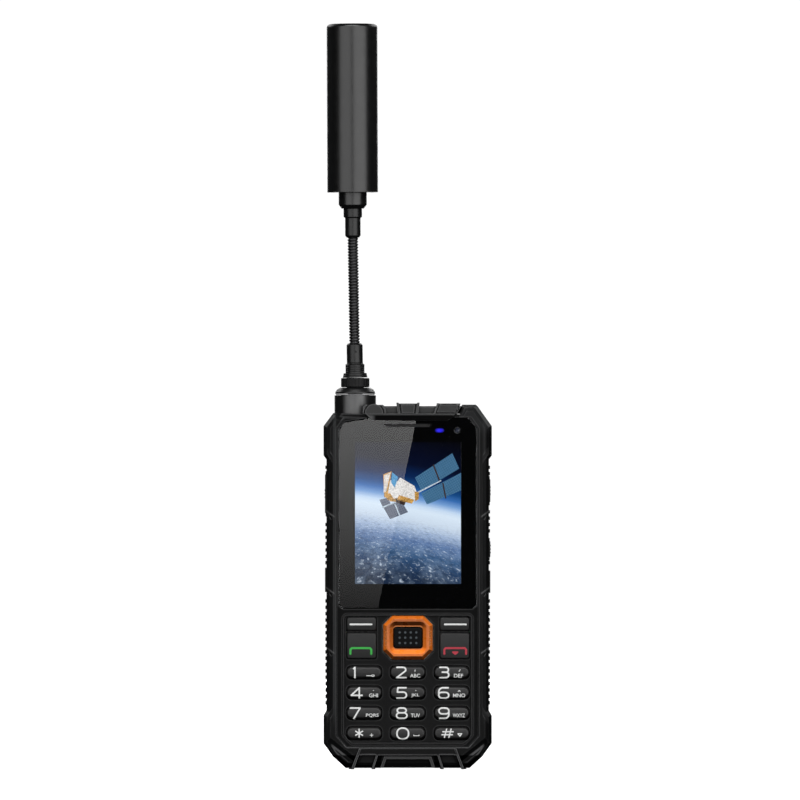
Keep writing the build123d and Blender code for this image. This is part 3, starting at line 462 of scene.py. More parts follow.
# Several finishes below carry painted highlights on outer edges, painted shade in gaps and painted light and shade by
# position or facing.
RUBBER = bumper()
CAP_RUBBER = moulded("rubber_cap", (0.0105, 0.0107, 0.011), 0.40, grain=0.16, height=0.010, spec=0.44, cell=True, scuff=0.08, edge=0.22,
                     edge_highlight=0.8, painted_light=cap_painted_shade, gaps=1.3)
FLAP = moulded("rubber_flap", (0.008, 0.008, 0.0083), 0.46, grain=0.14, height=0.008, spec=0.34, scuff=0.06, edge=0.2, edge_highlight=0.5, painted_light=flap_painted_shade, gaps=0.8)
SHELL = moulded("shell_plastic", (0.0022, 0.0023, 0.0024), 0.42, grain=0.18, height=0.006, spec=0.06, scuff=0.05, edge_highlight=0.5, gaps=0.6)
BOSS = moulded("rear_shell_plastic", (0.016, 0.0162, 0.0166), 0.40, grain=0.18, height=0.005, spec=0.9, scuff=0.05, painted_light=boss_painted_highlight)
PANEL = moulded("keypad_panel", (0.0056, 0.0056, 0.0058), 0.50, grain=0.12, height=0.004, spec=0.085, edge_highlight=0.42, edge_highlight_mm=0.45, gaps=0.6)
KEYS = crowned("key_plastic", (0.0100, 0.0096, 0.0098), 0.36, crown=0.8, shade=0.5, edge=0.35, spec=0.40)
KEY_FLAT = crowned("function_key_plastic", (0.0100, 0.0100, 0.0102), 0.42, crown=0.5, shade=0.35, z0=0.02, z1=0.98, spec=0.33)
OK_KEY = moulded("centre_key_plastic", (0.0012, 0.0014, 0.0017), 0.36, grain=0.10, height=0.002, spec=0.08, rough_var=0.05, edge=0.3, edge_highlight=0.3, edge_highlight_mm=0.35)
ORANGE = moulded("orange_plastic", (0.56, 0.125, 0.010), 0.30, var=0.06, grain=0.15, height=0.002, spec=0.5, coat=0.25, edge=0.2, painted_light=ring_painted_light,
                edge_highlight=0.55, edge_highlight_mm=0.4, edge_highlight_col=(0.95, 0.42, 0.12))
SIDE = moulded("side_key_rubber", (0.006, 0.006, 0.0063), 0.46, grain=0.14, height=0.007, spec=0.3, edge=0.2, edge_highlight=0.3)
NATURAL = moulded("inner_plastic", (0.55, 0.54, 0.5), 0.5, var=0.06, grain=0.2, height=0.004)
RADOME = moulded("radome_plastic", (0.0022, 0.0022, 0.0024), 0.31, grain=0.30, height=0.002, spec=0.78, rough_var=0.03, edge=0.25)
ANT = moulded("antenna_plastic", (0.0045, 0.0046, 0.0048), 0.32, grain=0.2, height=0.003, spec=0.5, rough_var=0.05, edge=0.2)
FERRULE = moulded("ferrule_plastic", (0.0045, 0.0046, 0.0048), 0.34, grain=0.2, height=0.003, spec=0.48, rough_var=0.05, edge=0.15, rings=(0.72, 140.5))
NUT = moulded("nut_plastic", (0.0045, 0.0045, 0.0048), 0.50, grain=0.2, height=0.003, spec=0.22, edge=0.06)
COVER = moulded("cover_plastic", (0.011, 0.0112, 0.0115), 0.46, grain=0.3, height=0.012, spec=0.42, cell=True, scuff=0.08, edge_highlight=0.3)
STEEL = metal("tinned_steel", (0.58, 0.58, 0.56), 0.28, (1, 1, 0.1))
SCREW = metal("plated_screw", (0.42, 0.42, 0.43), 0.3)
BRASS = metal("plated_brass", (0.72, 0.6, 0.36), 0.25, (1, 1, 12))
RING_METAL = metal("antenna_ring_metal", (0.26, 0.26, 0.265), 0.6, (1, 1, 10))


def board_material():
    g = G("solder_mask")
    v = g.voronoi(2.4, "DISTANCE_TO_EDGE")
    traces = g.remap(v, 0.02, 0.035, 1, 0)
    pads = g.remap(g.voronoi(1.1), 0.16, 0.18, 1, 0)
    col = g.mix(traces, (0.008, 0.085, 0.035), (0.02, 0.16, 0.07))
    col = g.mix(g.math("MULTIPLY", pads, g.remap(g.noise(7), 0.48, 0.5, 0, 1)), col, (0.75, 0.6, 0.3))
    return g.surface(col, g.remap(g.noise(1.5), 0.3, 0.7, 0.3, 0.45), g.bump(traces, 0.02, 0.5))


def film_material():
    g = G("dome_film")
    d = g.noise(0.8, 3)
    return g.surface(g.mix(d, (0.012, 0.012, 0.013), (0.022, 0.022, 0.024)), g.remap(d, 0.3, 0.7, 0.2, 0.35), g.bump(d, 0.01, 0.5))


def battery_material():
    g = G("battery_wrap")
    base = g.mix(g.noise(5, 3), (0.03, 0.031, 0.034), (0.045, 0.046, 0.05))
    band = g.n("ShaderNodeSeparateXYZ")
    g.l(g.co.outputs["Object"], band.inputs[0])
    stripe = g.remap(g.math("ABSOLUTE", g.math("SUBTRACT", band.outputs[2], 0.030)), 0.0040, 0.0042, 1, 0)
    base = g.mix(stripe, base, (0.55, 0.2, 0.03))
    return g.surface(base, g.remap(g.noise(1.2), 0.3, 0.7, 0.32, 0.45), g.bump(g.noise(1.6, 3), 0.03, 0.4))


def copper_material():
    g = G("helix_former")
    sx = g.n("ShaderNodeSeparateXYZ")
    g.l(g.co.outputs["Object"], sx.inputs[0])
    ang = g.math("ARCTAN2", sx.outputs[1], g.math("ADD", sx.outputs[0], 0.01813))
    turn = g.math("FRACT", g.math("ADD", g.math("MULTIPLY", ang, 4 / (2 * math.pi)), g.math("MULTIPLY", sx.outputs[2], 38.0)))
    strip = g.remap(g.math("ABSOLUTE", g.math("SUBTRACT", turn, 0.5)), 0.16, 0.18, 1, 0)
    col = g.mix(strip, (0.7, 0.68, 0.6), (0.72, 0.36, 0.16))
    return g.surface(col, g.remap(g.noise(1.0), 0.3, 0.7, 0.3, 0.45), g.bump(strip, 0.05, 0.6))


def glass_material(name="cover_glass", tint=(0.96, 0.98, 1.0)):
    g = G(name)
    smudge = g.noise(7.0, 4, 0.6)
    r = g.remap(smudge, 0.45, 0.75, 0.0, 0.012)
    return g.surface(tint, r, spec=0.5, ior=1.5, transmission=1.0)


def ink_material():
    g = G("black_ink")
    d = g.noise(0.3, 3)
    return g.surface(g.mix(d, (0.00015, 0.00015, 0.0002), (0.0004, 0.0004, 0.0005)), g.remap(d, 0.3, 0.7, 0.35, 0.5), g.bump(d, 0.002, 0.4), spec=0.0)


def print_material(name, col, emit=0.0):
    g = G(name)
    d = g.noise(0.25, 3)
    e = g.mix(d, tuple(c * 0.9 for c in col), tuple(min(1, c * 1.06) for c in col))
    return g.surface(e, g.remap(d, 0.3, 0.7, 0.38, 0.55), g.bump(d, 0.003, 0.4), emit=col if emit else None, emit_strength=emit)


# the white, green and red legends carry a faint painted glow (emission), though they are no lamp
WHITE = print_material("legend_white", (0.74, 0.75, 0.74), 0.04)
WHITE_SMALL = print_material("legend_grey", (0.36, 0.37, 0.37), 0.0)
GREEN = print_material("legend_green", (0.022, 0.40, 0.045), 0.03)
RED = print_material("legend_red", (0.42, 0.016, 0.035), 0.03)
DOT = print_material("centre_key_dots", (0.030, 0.042, 0.050))


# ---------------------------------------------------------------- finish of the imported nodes
def finish_node(node, mat):
    o = N[node]
    o.data.materials.clear()
    o.data.materials.append(mat)
    return o


# ---------------------------------------------------------------- mesh helpers
def piece(name, verts, faces, mat, body, smooth=False, material_ids=None, mats=None):
    me = bpy.data.meshes.new(name)
    me.from_pydata([tuple(v) for v in verts], [], [tuple(f) for f in faces])
    bm = bmesh.new()
    bm.from_mesh(me)
    bmesh.ops.recalc_face_normals(bm, faces=bm.faces)
    bm.to_mesh(me)
    bm.free()
    for m in (mats or [mat]):
        me.materials.append(m)
    if material_ids is not None:
        me.polygons.foreach_set("material_index", material_ids)
    if smooth:
        me.polygons.foreach_set("use_smooth", [True] * len(me.polygons))
    o = bpy.data.objects.new(name, me)
    bpy.context.scene.collection.objects.link(o)
    if body:
        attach(o, body)
    return o


def arc(cx, cy, rx, ry, a0, a1, n=10):
    return [(cx + rx * math.cos(math.radians(a0 + (a1 - a0) * i / n)),
             cy + ry * math.sin(math.radians(a0 + (a1 - a0) * i / n))) for i in range(n + 1)]


# wide rounded numerals as centre lines in a unit box
GLYPHS = {
    "0": [arc(0.46, 0.56, 0.46, 0.44, 180, 90) + arc(0.54, 0.56, 0.46, 0.44, 90, 0) + arc(0.54, 0.44, 0.46, 0.44, 0, -90)
          + arc(0.46, 0.44, 0.46, 0.44, -90, -180) + [(0.0, 0.56)]],
    "1": [[(0.02, 0.86), (0.34, 1.0), (0.34, 0.0)]],
    "2": [[(0.04, 1.0)] + arc(0.66, 0.76, 0.28, 0.24, 90, -25) + [(0.03, 0.0), (0.97, 0.0)]],
    "3": [[(0.04, 1.0)] + arc(0.66, 0.765, 0.27, 0.235, 90, -90) + [(0.28, 0.53)],
          [(0.6, 0.53)] + arc(0.66, 0.265, 0.31, 0.265, 90, -90) + [(0.02, 0.0)]],
    "4": [[(0.74, 0.0), (0.74, 1.0), (0.0, 0.27), (1.0, 0.27)]],
    "5": [[(0.92, 1.0), (0.12, 1.0), (0.07, 0.58)] + arc(0.66, 0.29, 0.31, 0.29, 90, -90) + [(0.02, 0.0)]],
    "6": [[(0.9, 1.0)] + arc(0.42, 0.6, 0.4, 0.4, 90, 180) + arc(0.32, 0.28, 0.3, 0.28, 180, 270)
          + arc(0.66, 0.28, 0.31, 0.28, -90, 90) + [(0.3, 0.56)] + arc(0.3, 0.34, 0.26, 0.22, 90, 150, 5)],
    "7": [[(0.0, 1.0), (0.97, 1.0), (0.36, 0.0)]],
    "8": [arc(0.36, 0.77, 0.27, 0.23, 270, 90) + arc(0.64, 0.77, 0.27, 0.23, 90, -90) + [(0.36, 0.54)],
          arc(0.33, 0.27, 0.31, 0.27, 90, 270) + arc(0.67, 0.27, 0.31, 0.27, -90, 90) + [(0.33, 0.54)]],
    "9": [[(0.1, 0.0)] + arc(0.58, 0.4, 0.4, 0.4, 270, 360) + arc(0.68, 0.72, 0.3, 0.28, 0, 90)
          + arc(0.34, 0.72, 0.31, 0.28, 90, 270) + [(0.7, 0.44)] + arc(0.7, 0.66, 0.26, 0.22, -90, -30, 5)],
    "star": [[(0.5 + 0.48 * math.cos(math.radians(a)), 0.5 + 0.48 * math.sin(math.radians(a))),
              (0.5 - 0.48 * math.cos(math.radians(a)), 0.5 - 0.48 * math.sin(math.radians(a)))] for a in (90, 30, 150)],
    "hash": [[(0.22, 0.0), (0.42, 1.0)], [(0.62, 0.0), (0.82, 1.0)], [(0.08, 0.68), (1.0, 0.68)], [(0.0, 0.32), (0.92, 0.32)]],
    "plus": [[(0.5, 0.1), (0.5, 0.9)], [(0.1, 0.5), (0.9, 0.5)]],
    "space": [[(0.0, 0.5), (0.0, 0.1), (1.0, 0.1), (1.0, 0.5)]],
    "down": [[(0.0, 0.95), (0.5, 0.1), (1.0, 0.95), (0.0, 0.95)], [(0.25, 0.75), (0.5, 0.3), (0.75, 0.75)]],
    "link": [[(0.0, 0.35), (0.3, 0.35)], arc(0.82, 0.4, 0.18, 0.35, 0, 360, 16), [(0.3, 0.35), (0.64, 0.35)]],
    "dot": [[(0.4, 0.5), (0.6, 0.5)]],
    "slash": [[(0.2, 0.0), (0.8, 1.0)]],
    "caret": [[(0.0, 0.1), (0.5, 0.9), (1.0, 0.1)]],
}


def outline(lines, half, step=0.05):
    """Closed outlines, in millimetres, of round-ended strokes of this half width along the lines."""
    segs = np.array([(*a, *b) for ln in lines for a, b in zip(ln, ln[1:])], float)
    x0, y0 = segs[:, [0, 2]].min() - half - 3 * step, segs[:, [1, 3]].min() - half - 3 * step
    x1, y1 = segs[:, [0, 2]].max() + half + 3 * step, segs[:, [1, 3]].max() + half + 3 * step
    gx, gy = np.arange(x0, x1, step), np.arange(y0, y1, step)
    X, Y = np.meshgrid(gx, gy, indexing="ij")
    F = np.full(X.shape, 1e9)
    for ax, ay, bx, by in segs:
        dx, dy = bx - ax, by - ay
        t = np.clip(((X - ax) * dx + (Y - ay) * dy) / (dx * dx + dy * dy + 1e-12), 0, 1)
        F = np.minimum(F, np.hypot(X - ax - t * dx, Y - ay - t * dy))
    F -= half
    F[np.abs(F) < 1e-9] = 1e-9
    nxt = {}

    def cut(i, j, k, m):
        a, b = F[i, j], F[k, m]
        t = a / (a - b)
        return (gx[i] + (gx[k] - gx[i]) * t, gy[j] + (gy[m] - gy[j]) * t)

    for i in range(len(gx) - 1):
        for j in range(len(gy) - 1):
            c = [F[i, j] < 0, F[i + 1, j] < 0, F[i + 1, j + 1] < 0, F[i, j + 1] < 0]
            if all(c) or not any(c):
                continue
            corners = [(i, j), (i + 1, j), (i + 1, j + 1), (i, j + 1)]
            enter, leave = [], []
            for q in range(4):
                a, b = q, (q + 1) % 4
                if c[a] != c[b]:
                    key = tuple(sorted((corners[a], corners[b])))
                    (leave if c[a] else enter).append(key)
            for e, v in zip(enter, leave if len(leave) == 1 else leave[::-1] if False else leave):
                nxt[v] = e
    loops = []
    while nxt:
        start = next(iter(nxt))
        loop, k = [], start
        while k in nxt:
            loop.append(cut(*k[0], *k[1]))
            k = nxt.pop(k)
        if len(loop) > 6:
            loops.append(loop)
    return loops


def filled(loops):
    """Flat triangles inside closed outlines, holes left out: points and faces."""
    cu = bpy.data.curves.new("tmp", "CURVE")
    cu.dimensions = "2D"
    cu.fill_mode = "BOTH"
    for lp in loops:
        sp = cu.splines.new("POLY")
        sp.points.add(len(lp) - 1)
        for p, q in zip(sp.points, lp):
            p.co = (q[0], q[1], 0, 1)
        sp.use_cyclic_u = True
    ob = bpy.data.objects.new("tmp", cu)
    bpy.context.scene.collection.objects.link(ob)
    bpy.context.view_layer.update()
    me = bpy.data.meshes.new_from_object(ob.evaluated_get(bpy.context.evaluated_depsgraph_get()))
    pts = [(v.co.x, v.co.y) for v in me.vertices]
    faces = [tuple(p.vertices) for p in me.polygons]
    bpy.data.objects.remove(ob)
    bpy.data.curves.remove(cu)
    bpy.data.meshes.remove(me)
    return pts, faces


def text_shape(body, size):
    cu = bpy.data.curves.new("tmp", "FONT")
    cu.body = body
    cu.size = size
    cu.offset = 0.012 * size
    cu.resolution_u = 3
    ob = bpy.data.objects.new("tmp", cu)
    bpy.context.scene.collection.objects.link(ob)
    bpy.context.view_layer.update()
    me = bpy.data.meshes.new_from_object(ob.evaluated_get(bpy.context.evaluated_depsgraph_get()))
    pts = [(v.co.x, v.co.y) for v in me.vertices]
    faces = [tuple(p.vertices) for p in me.polygons]
    bpy.data.objects.remove(ob)
    bpy.data.curves.remove(cu)
    bpy.data.meshes.remove(me)
    return pts, faces


def tree_of(node):
    me = N[node].data
    return BVHTree.FromPolygons([v.co[:] for v in me.vertices], [p.vertices[:] for p in me.polygons])


def printed(name, node, body, shapes, lift=0.014):
    """A thin printed legend laid on the front of a node. shapes: (points, faces, material) in x, z millimetres."""
    tree = tree_of(node)
    verts, faces, ids, mats = [], [], [], []
    for pts, fcs, mat in shapes:
        pts, fcs = refined((pts, fcs))
        if mat not in mats:
            mats.append(mat)
        k = len(verts)
        for x, z in pts:
            hit = tree.ray_cast(Vector((x, -20, z)) * MM, Vector((0, 1, 0)))
            y = hit[0].y if hit[0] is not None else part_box(node)[0].y
            verts.append(Vector((x * MM, y - lift * MM, z * MM)))
        for f in fcs:
            faces.append([k + i for i in f])
            ids.append(mats.index(mat))
    me = bpy.data.meshes.new(name)
    me.from_pydata(verts, [], faces)
    me.update()
    bm = bmesh.new()
    bm.from_mesh(me)
    bmesh.ops.remove_doubles(bm, verts=bm.verts, dist=1e-7)
    for f in bm.faces:
        f.normal_update()
        if f.normal.y > 0:
            f.normal_flip()
    bm.to_mesh(me)
    bm.free()
    for m in mats:
        me.materials.append(m)
    o = bpy.data.objects.new(name, me)
    bpy.context.scene.collection.objects.link(o)
    s = o.modifiers.new("ink", "SOLIDIFY")
    s.thickness = 0.022 * MM
    s.offset = -1
    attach(o, body)
    return o


def refined(shape, step=0.3):
    """Splits long edges so that a flat shape can follow a rounded surface."""
    pts, faces = shape
    bm = bmesh.new()
    vs_ = [bm.verts.new((x, z, 0)) for x, z in pts]
    for f in faces:
        try:
            bm.faces.new([vs_[i] for i in f])
        except ValueError:
            pass
    bmesh.ops.remove_doubles(bm, verts=bm.verts, dist=1e-4)
    bmesh.ops.triangulate(bm, faces=bm.faces)
    for _ in range(5):
        long_edges = [e for e in bm.edges if e.calc_length() > step]
        if not long_edges:
            break
        bmesh.ops.subdivide_edges(bm, edges=long_edges, cuts=1)
        bmesh.ops.triangulate(bm, faces=bm.faces)
    bm.verts.index_update()
    out = [(v.co.x, v.co.y) for v in bm.verts], [tuple(v.index for v in f.verts) for f in bm.faces]
    bm.free()
    return out


def place(shape, x, z, w, h):
    """Moves a shape's outline box to left x, bottom z, width w, height h."""
    pts, faces = shape
    a = np.array(pts)
    lo, hi = a.min(0), a.max(0)
    a = (a - lo) / np.maximum(hi - lo, 1e-9) * (w, h) + (x, z)
    return [tuple(p) for p in a], faces


def glyph(name, x, z, w, h, half=0.33):
    """Numeral whose ink spans left x, bottom z, width w and height h."""
    lines = [[(x + half + p[0] * (w - 2 * half), z + half + p[1] * (h - 2 * half)) for p in ln] for ln in GLYPHS[name]]
    return filled(outline(lines, half))


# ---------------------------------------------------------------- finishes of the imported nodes
finish_node("bumper_frame", RUBBER)
finish_node("top_cap", CAP_RUBBER)
finish_node("front_housing", SHELL)
finish_node("rear_housing", BOSS)
finish_node("battery_cover", COVER)
finish_node("cover_gasket", FLAP)
finish_node("cover_lock_left", SCREW)
finish_node("cover_lock_right", SCREW)
GLASS = glass_material()
finish_node("display_glass", GLASS)
finish_node("lcd_module", moulded("display_frame", (0.02, 0.02, 0.021), 0.4))
finish_node("earpiece", moulded("earpiece_mesh", (0.010, 0.010, 0.0105), 0.45, grain=0.3, height=0.03, cell=True, spec=0.3))
finish_node("front_sensors", moulded("sensor_carrier", (0.006, 0.006, 0.0065), 0.3))
finish_node("keypad_mat", PANEL)
for n in [k for k in N if k.startswith("key_") and k != "key_ok"]:
    finish_node(n, KEY_FLAT if n in ("key_soft_left", "key_soft_right", "key_call", "key_end") else KEYS)
finish_node("key_ok", OK_KEY)
finish_node("nav_ring", ORANGE)
finish_node("nav_rocker", NATURAL)
finish_node("dome_sheet", film_material())
finish_node("main_board", board_material())
finish_node("shield_cans", STEEL)
finish_node("battery", battery_material())
finish_node("rear_camera", moulded("camera_barrel", (0.01, 0.01, 0.011), 0.32))
finish_node("camera_window", glass_material("camera_glass"))
finish_node("loudspeaker", moulded("speaker_mesh", (0.05, 0.05, 0.052), 0.45, grain=0.4, height=0.05, cell=True))
finish_node("torch_lamp", metal("torch_reflector", (0.85, 0.85, 0.84), 0.12))
finish_node("headset_jack", moulded("jack_moulding", (0.015, 0.015, 0.015), 0.4))
finish_node("usb_port", STEEL)
finish_node("housing_screws", SCREW)
finish_node("ptt_key", SIDE)
finish_node("sos_key", SIDE)
finish_node("torch_key", SIDE)
finish_node("usb_flap", FLAP)
finish_node("jack_flap", CAP_RUBBER)
finish_node("antenna_socket", RING_METAL)
finish_node("antenna_base", ANT)
finish_node("coupling_nut", NUT)
finish_node("lower_ferrule", FERRULE)
finish_node("upper_ferrule", ANT)
finish_node("radome", RADOME)
finish_node("helix_element", copper_material())
for k in range(1, 6):
    finish_node(f"neck_link_{k}", ANT)


# ---------------------------------------------------------------- wound gooseneck
ANT_X, Z_NUT = -18.13, 133.4
LEAN, HEAD = math.radians(-0.97), math.radians(0.73)
NECK_0, NECK_1, PITCH = 147.0, 183.6, 6.1
J = [NECK_0 + PITCH * (k + 0.5) for k in range(6)]


def axis_point(z):
    """Point of the whip's axis at this unleaned level and the axis' direction there, bend at the last joint included."""
    foot = Vector((ANT_X, 0, Z_NUT))
    d0 = Vector((math.sin(LEAN), 0, math.cos(LEAN)))
    d1 = Vector((math.sin(LEAN + HEAD), 0, math.cos(LEAN + HEAD)))
    q = foot + d0 * (J[5] - Z_NUT)
    h = 2.4
    if z <= J[5] - h:
        return foot + d0 * (z - Z_NUT), d0
    if z >= J[5] + h:
        return q + d1 * (z - J[5]), d1
    t = (z - J[5] + h) / (2 * h)
    a, c = q - d0 * h, q + d1 * h
    p = a * (1 - t) ** 2 + q * 2 * t * (1 - t) + c * t * t
    return p, (d0 * (1 - t) + d1 * t).normalized()


STRIP = 1.02        # pitch of the wound strip


def neck_radius(z, th):
    f = (z / STRIP - th / (2 * math.pi)) % 1.0
    # rounded back of the strip and the narrow lap beside it
    if f < 0.16:
        return 1.50
    u = (f - 0.16) / 0.84
    return 1.50 + 0.36 * (1 - abs(2 * u - 1) ** 3.0)


NTH = 40
for k in range(6):
    z0, z1 = NECK_0 + PITCH * k, NECK_0 + PITCH * (k + 1)
    lo, hi = (z0 - 0.5 if k == 0 else z0), (z1 + 0.4 if k == 5 else z1)
    nz = int(round((hi - lo) / 0.085))
    verts, faces = [], []
    for i in range(nz + 1):
        z = lo + (hi - lo) * i / nz
        p, d = axis_point(z)
        side = Vector((0, 1, 0)).cross(d).normalized()
        for j in range(NTH):
            th = 2 * math.pi * j / NTH
            r = neck_radius(z, th)
            verts.append((p + side * (r * math.cos(th)) + Vector((0, 1, 0)) * (r * math.sin(th))) * MM)
    for i in range(nz):
        for j in range(NTH):
            a, b = i * NTH + j, i * NTH + (j + 1) % NTH
            faces.append((a, b, b + NTH, a + NTH))
    # close both ends with a flat cap so that no slit shows in a bend
    faces.append(tuple(reversed(range(NTH))))
    faces.append(tuple(nz * NTH + j for j in range(NTH)))
    name = f"gooseneck_winding_{k + 1}"
    o = piece(name, verts, faces, metal(name + "_black", (0.058, 0.058, 0.060), 0.34) if k == 0 else bpy.data.materials["gooseneck_winding_1_black"],
              None, smooth=True)
    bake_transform(o)
    if 0 < k:
        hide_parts(f"neck_link_{k}")


# ---------------------------------------------------------------- legends
ROWS = (33.4, 26.45, 19.4, 12.4)
DIGIT = {  # node: (glyph, left, bottom, width, height)
    "key_1": ("1", -18.95, 31.35, 1.9, 4.1), "key_2": ("2", -4.15, 31.35, 3.95, 4.1), "key_3": ("3", 10.75, 31.35, 3.8, 4.1),
    "key_4": ("4", -19.75, 24.3, 4.3, 4.1), "key_5": ("5", -4.05, 24.3, 4.0, 4.1), "key_6": ("6", 10.4, 24.3, 4.15, 4.1),
    "key_7": ("7", -20.1, 17.3, 4.05, 4.1), "key_8": ("8", -4.2, 17.3, 4.3, 4.1), "key_9": ("9", 10.4, 17.3, 4.15, 4.1),
    "key_star": ("star", -18.4, 10.8, 3.3, 3.3), "key_0": ("0", -3.95, 10.2, 4.5, 4.3), "key_hash": ("hash", 11.6, 10.8, 4.3, 3.3),
}
LETTERS = {
    "key_2": ("ABC", 0.8, 31.65, 3.5, 1.3), "key_3": ("DEF", 15.95, 31.65, 3.2, 1.3),
    "key_4": ("GHI", -13.35, 24.85, 3.1, 1.3), "key_5": ("JKL", 1.2, 24.85, 2.8, 1.3), "key_6": ("MNO", 15.65, 24.85, 4.2, 1.3),
    "key_7": ("PQRS", -14.4, 17.95, 4.4, 1.3), "key_8": ("TUV", 1.1, 17.95, 3.1, 1.3), "key_9": ("WXYZ", 15.55, 17.95, 4.2, 1.3),
}
MARKS = {"key_1": [("link", -14.3, 31.9, 2.9, 1.0)], "key_star": [("plus", -13.2, 11.05, 1.5, 1.5)],
         "key_0": [("space", 1.95, 11.4, 2.1, 0.9)], "key_hash": [("down", 17.15, 11.1, 1.7, 1.4)],
         "key_2": [("slash", 2.3, 33.6, 0.45, 0.8)], "key_3": [("slash", 17.5, 33.7, 0.85, 0.8)], "key_4": [("dot", -12.1, 26.9, 0.6, 0.6)],
         "key_5": [("dot", 2.4, 26.9, 0.8, 0.6)], "key_6": [("caret", 17.3, 26.7, 0.95, 0.7)]}
for node, (ch, x, z, w, h) in DIGIT.items():
    shapes = [(*glyph(ch, x, z, w, h, 0.22 if ch in ("star", "hash") else 0.27), WHITE)]
    if node in LETTERS:
        t, lx, lz, lw, lh = LETTERS[node]
        shapes.append((*place(text_shape(t, 2.0), lx, lz, lw, lh), WHITE_SMALL))
    for t, lx, lz, lw, lh in MARKS.get(node, []):
        shapes.append((*glyph(t, lx, lz, lw, lh, 0.12), WHITE_SMALL))
    printed(node + "_legend", node, node + "_body", shapes)
for node, x in (("key_soft_left", -20.05), ("key_soft_right", 12.5)):
    printed(node + "_legend", node, node + "_body", [(*filled(outline([[(x + 0.3, 50.0), (x + 7.6, 50.0)]], 0.3)), WHITE)])


def handset(x, z, w, h, half):
    """Handset seen from the side: a bar with two turned-down ends."""
    return outline([[(x + half, z + half), (x + half, z + h - 0.85), (x + half + 0.5, z + h - half), (x + w - half - 0.5, z + h - half),
                     (x + w - half, z + h - 0.85), (x + w - half, z + half)]], half)


printed("key_call_legend", "key_call", "key_call_body", [(*filled(handset(-20.1, 39.5, 7.9, 2.65, 0.34)), GREEN)])
printed("key_end_legend", "key_end", "key_end_body",
        [(*filled(handset(12.3, 39.5, 8.2, 2.65, 0.34)), RED),
         (*filled(outline([[(15.6, 40.4), (17.2, 40.4), (16.4, 39.75), (15.6, 40.4)]], 0.28)), RED)])
dots = []
for i in range(4):
    for j in range(3):
        cx, cz = 0.1 + (i - 1.5) * 1.92, 45.4 + (j - 1) * 1.83
        dots.append(([(cx + 0.4 * math.cos(a * math.pi / 8), cz + 0.4 * math.sin(a * math.pi / 8)) for a in range(16)], [tuple(range(16))], DOT))
printed("centre_key_dot_caps", "key_ok", "key_ok_body", dots, lift=0.01)


# ---------------------------------------------------------------- behind the glass
ACTIVE = (-18.2, 63.92, 18.52, 112.88)
GLASS_OUTLINE = [(23.7, 56.7), (23.7, 117.8), (20.75, 121.2), (-12.9, 121.2), (-21.6, 119.8), (-23.7, 117.1), (-23.7, 56.7),
                 (-22.3, 55.5), (22.3, 55.5)]


def flat_shell(name, loops, y0, y1, mat, body="handset"):
    """Plate with holes between two y levels."""
    pts, faces = filled(loops)
    me = bpy.data.meshes.new(name)
    me.from_pydata([(x * MM, y0 * MM, z * MM) for x, z in pts], [], faces)
    bm = bmesh.new()
    bm.from_mesh(me)
    bmesh.ops.remove_doubles(bm, verts=bm.verts, dist=1e-7)
    for f in bm.faces:
        f.normal_update()
        if f.normal.y > 0:
            f.normal_flip()
    bm.to_mesh(me)
    bm.free()
    me.materials.append(mat)
    o = bpy.data.objects.new(name, me)
    bpy.context.scene.collection.objects.link(o)
    s = o.modifiers.new("thick", "SOLIDIFY")
    s.thickness = (y1 - y0) * MM
    s.offset = -1
    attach(o, body)
    return o


def ring_loop(cx, cz, rx, rz, n=40, p=2.0):
    out = []
    for i in range(n):
        a = 2 * math.pi * i / n
        c, s = math.cos(a), math.sin(a)
        out.append((cx + rx * math.copysign(abs(c) ** (2 / p), c), cz + rz * math.copysign(abs(s) ** (2 / p), s)))
    return out


ax0, az0, ax1, az1 = ACTIVE
flat_shell("glass_ink_mask", [GLASS_OUTLINE, [(ax0 + 0.02, az0 + 0.02), (ax1 - 0.02, az0 + 0.02), (ax1 - 0.02, az1 - 0.02), (ax0 + 0.02, az1 - 0.02)],
                              ring_loop(17.1, 116.9, 1.25, 1.25), ring_loop(11.0, 116.9, 1.6, 0.75, p=3),
                              [(-7.9, 117.95), (7.9, 117.95), (8.6, 119.3), (-8.6, 119.3)]],
           -10.243, -10.213, ink_material())


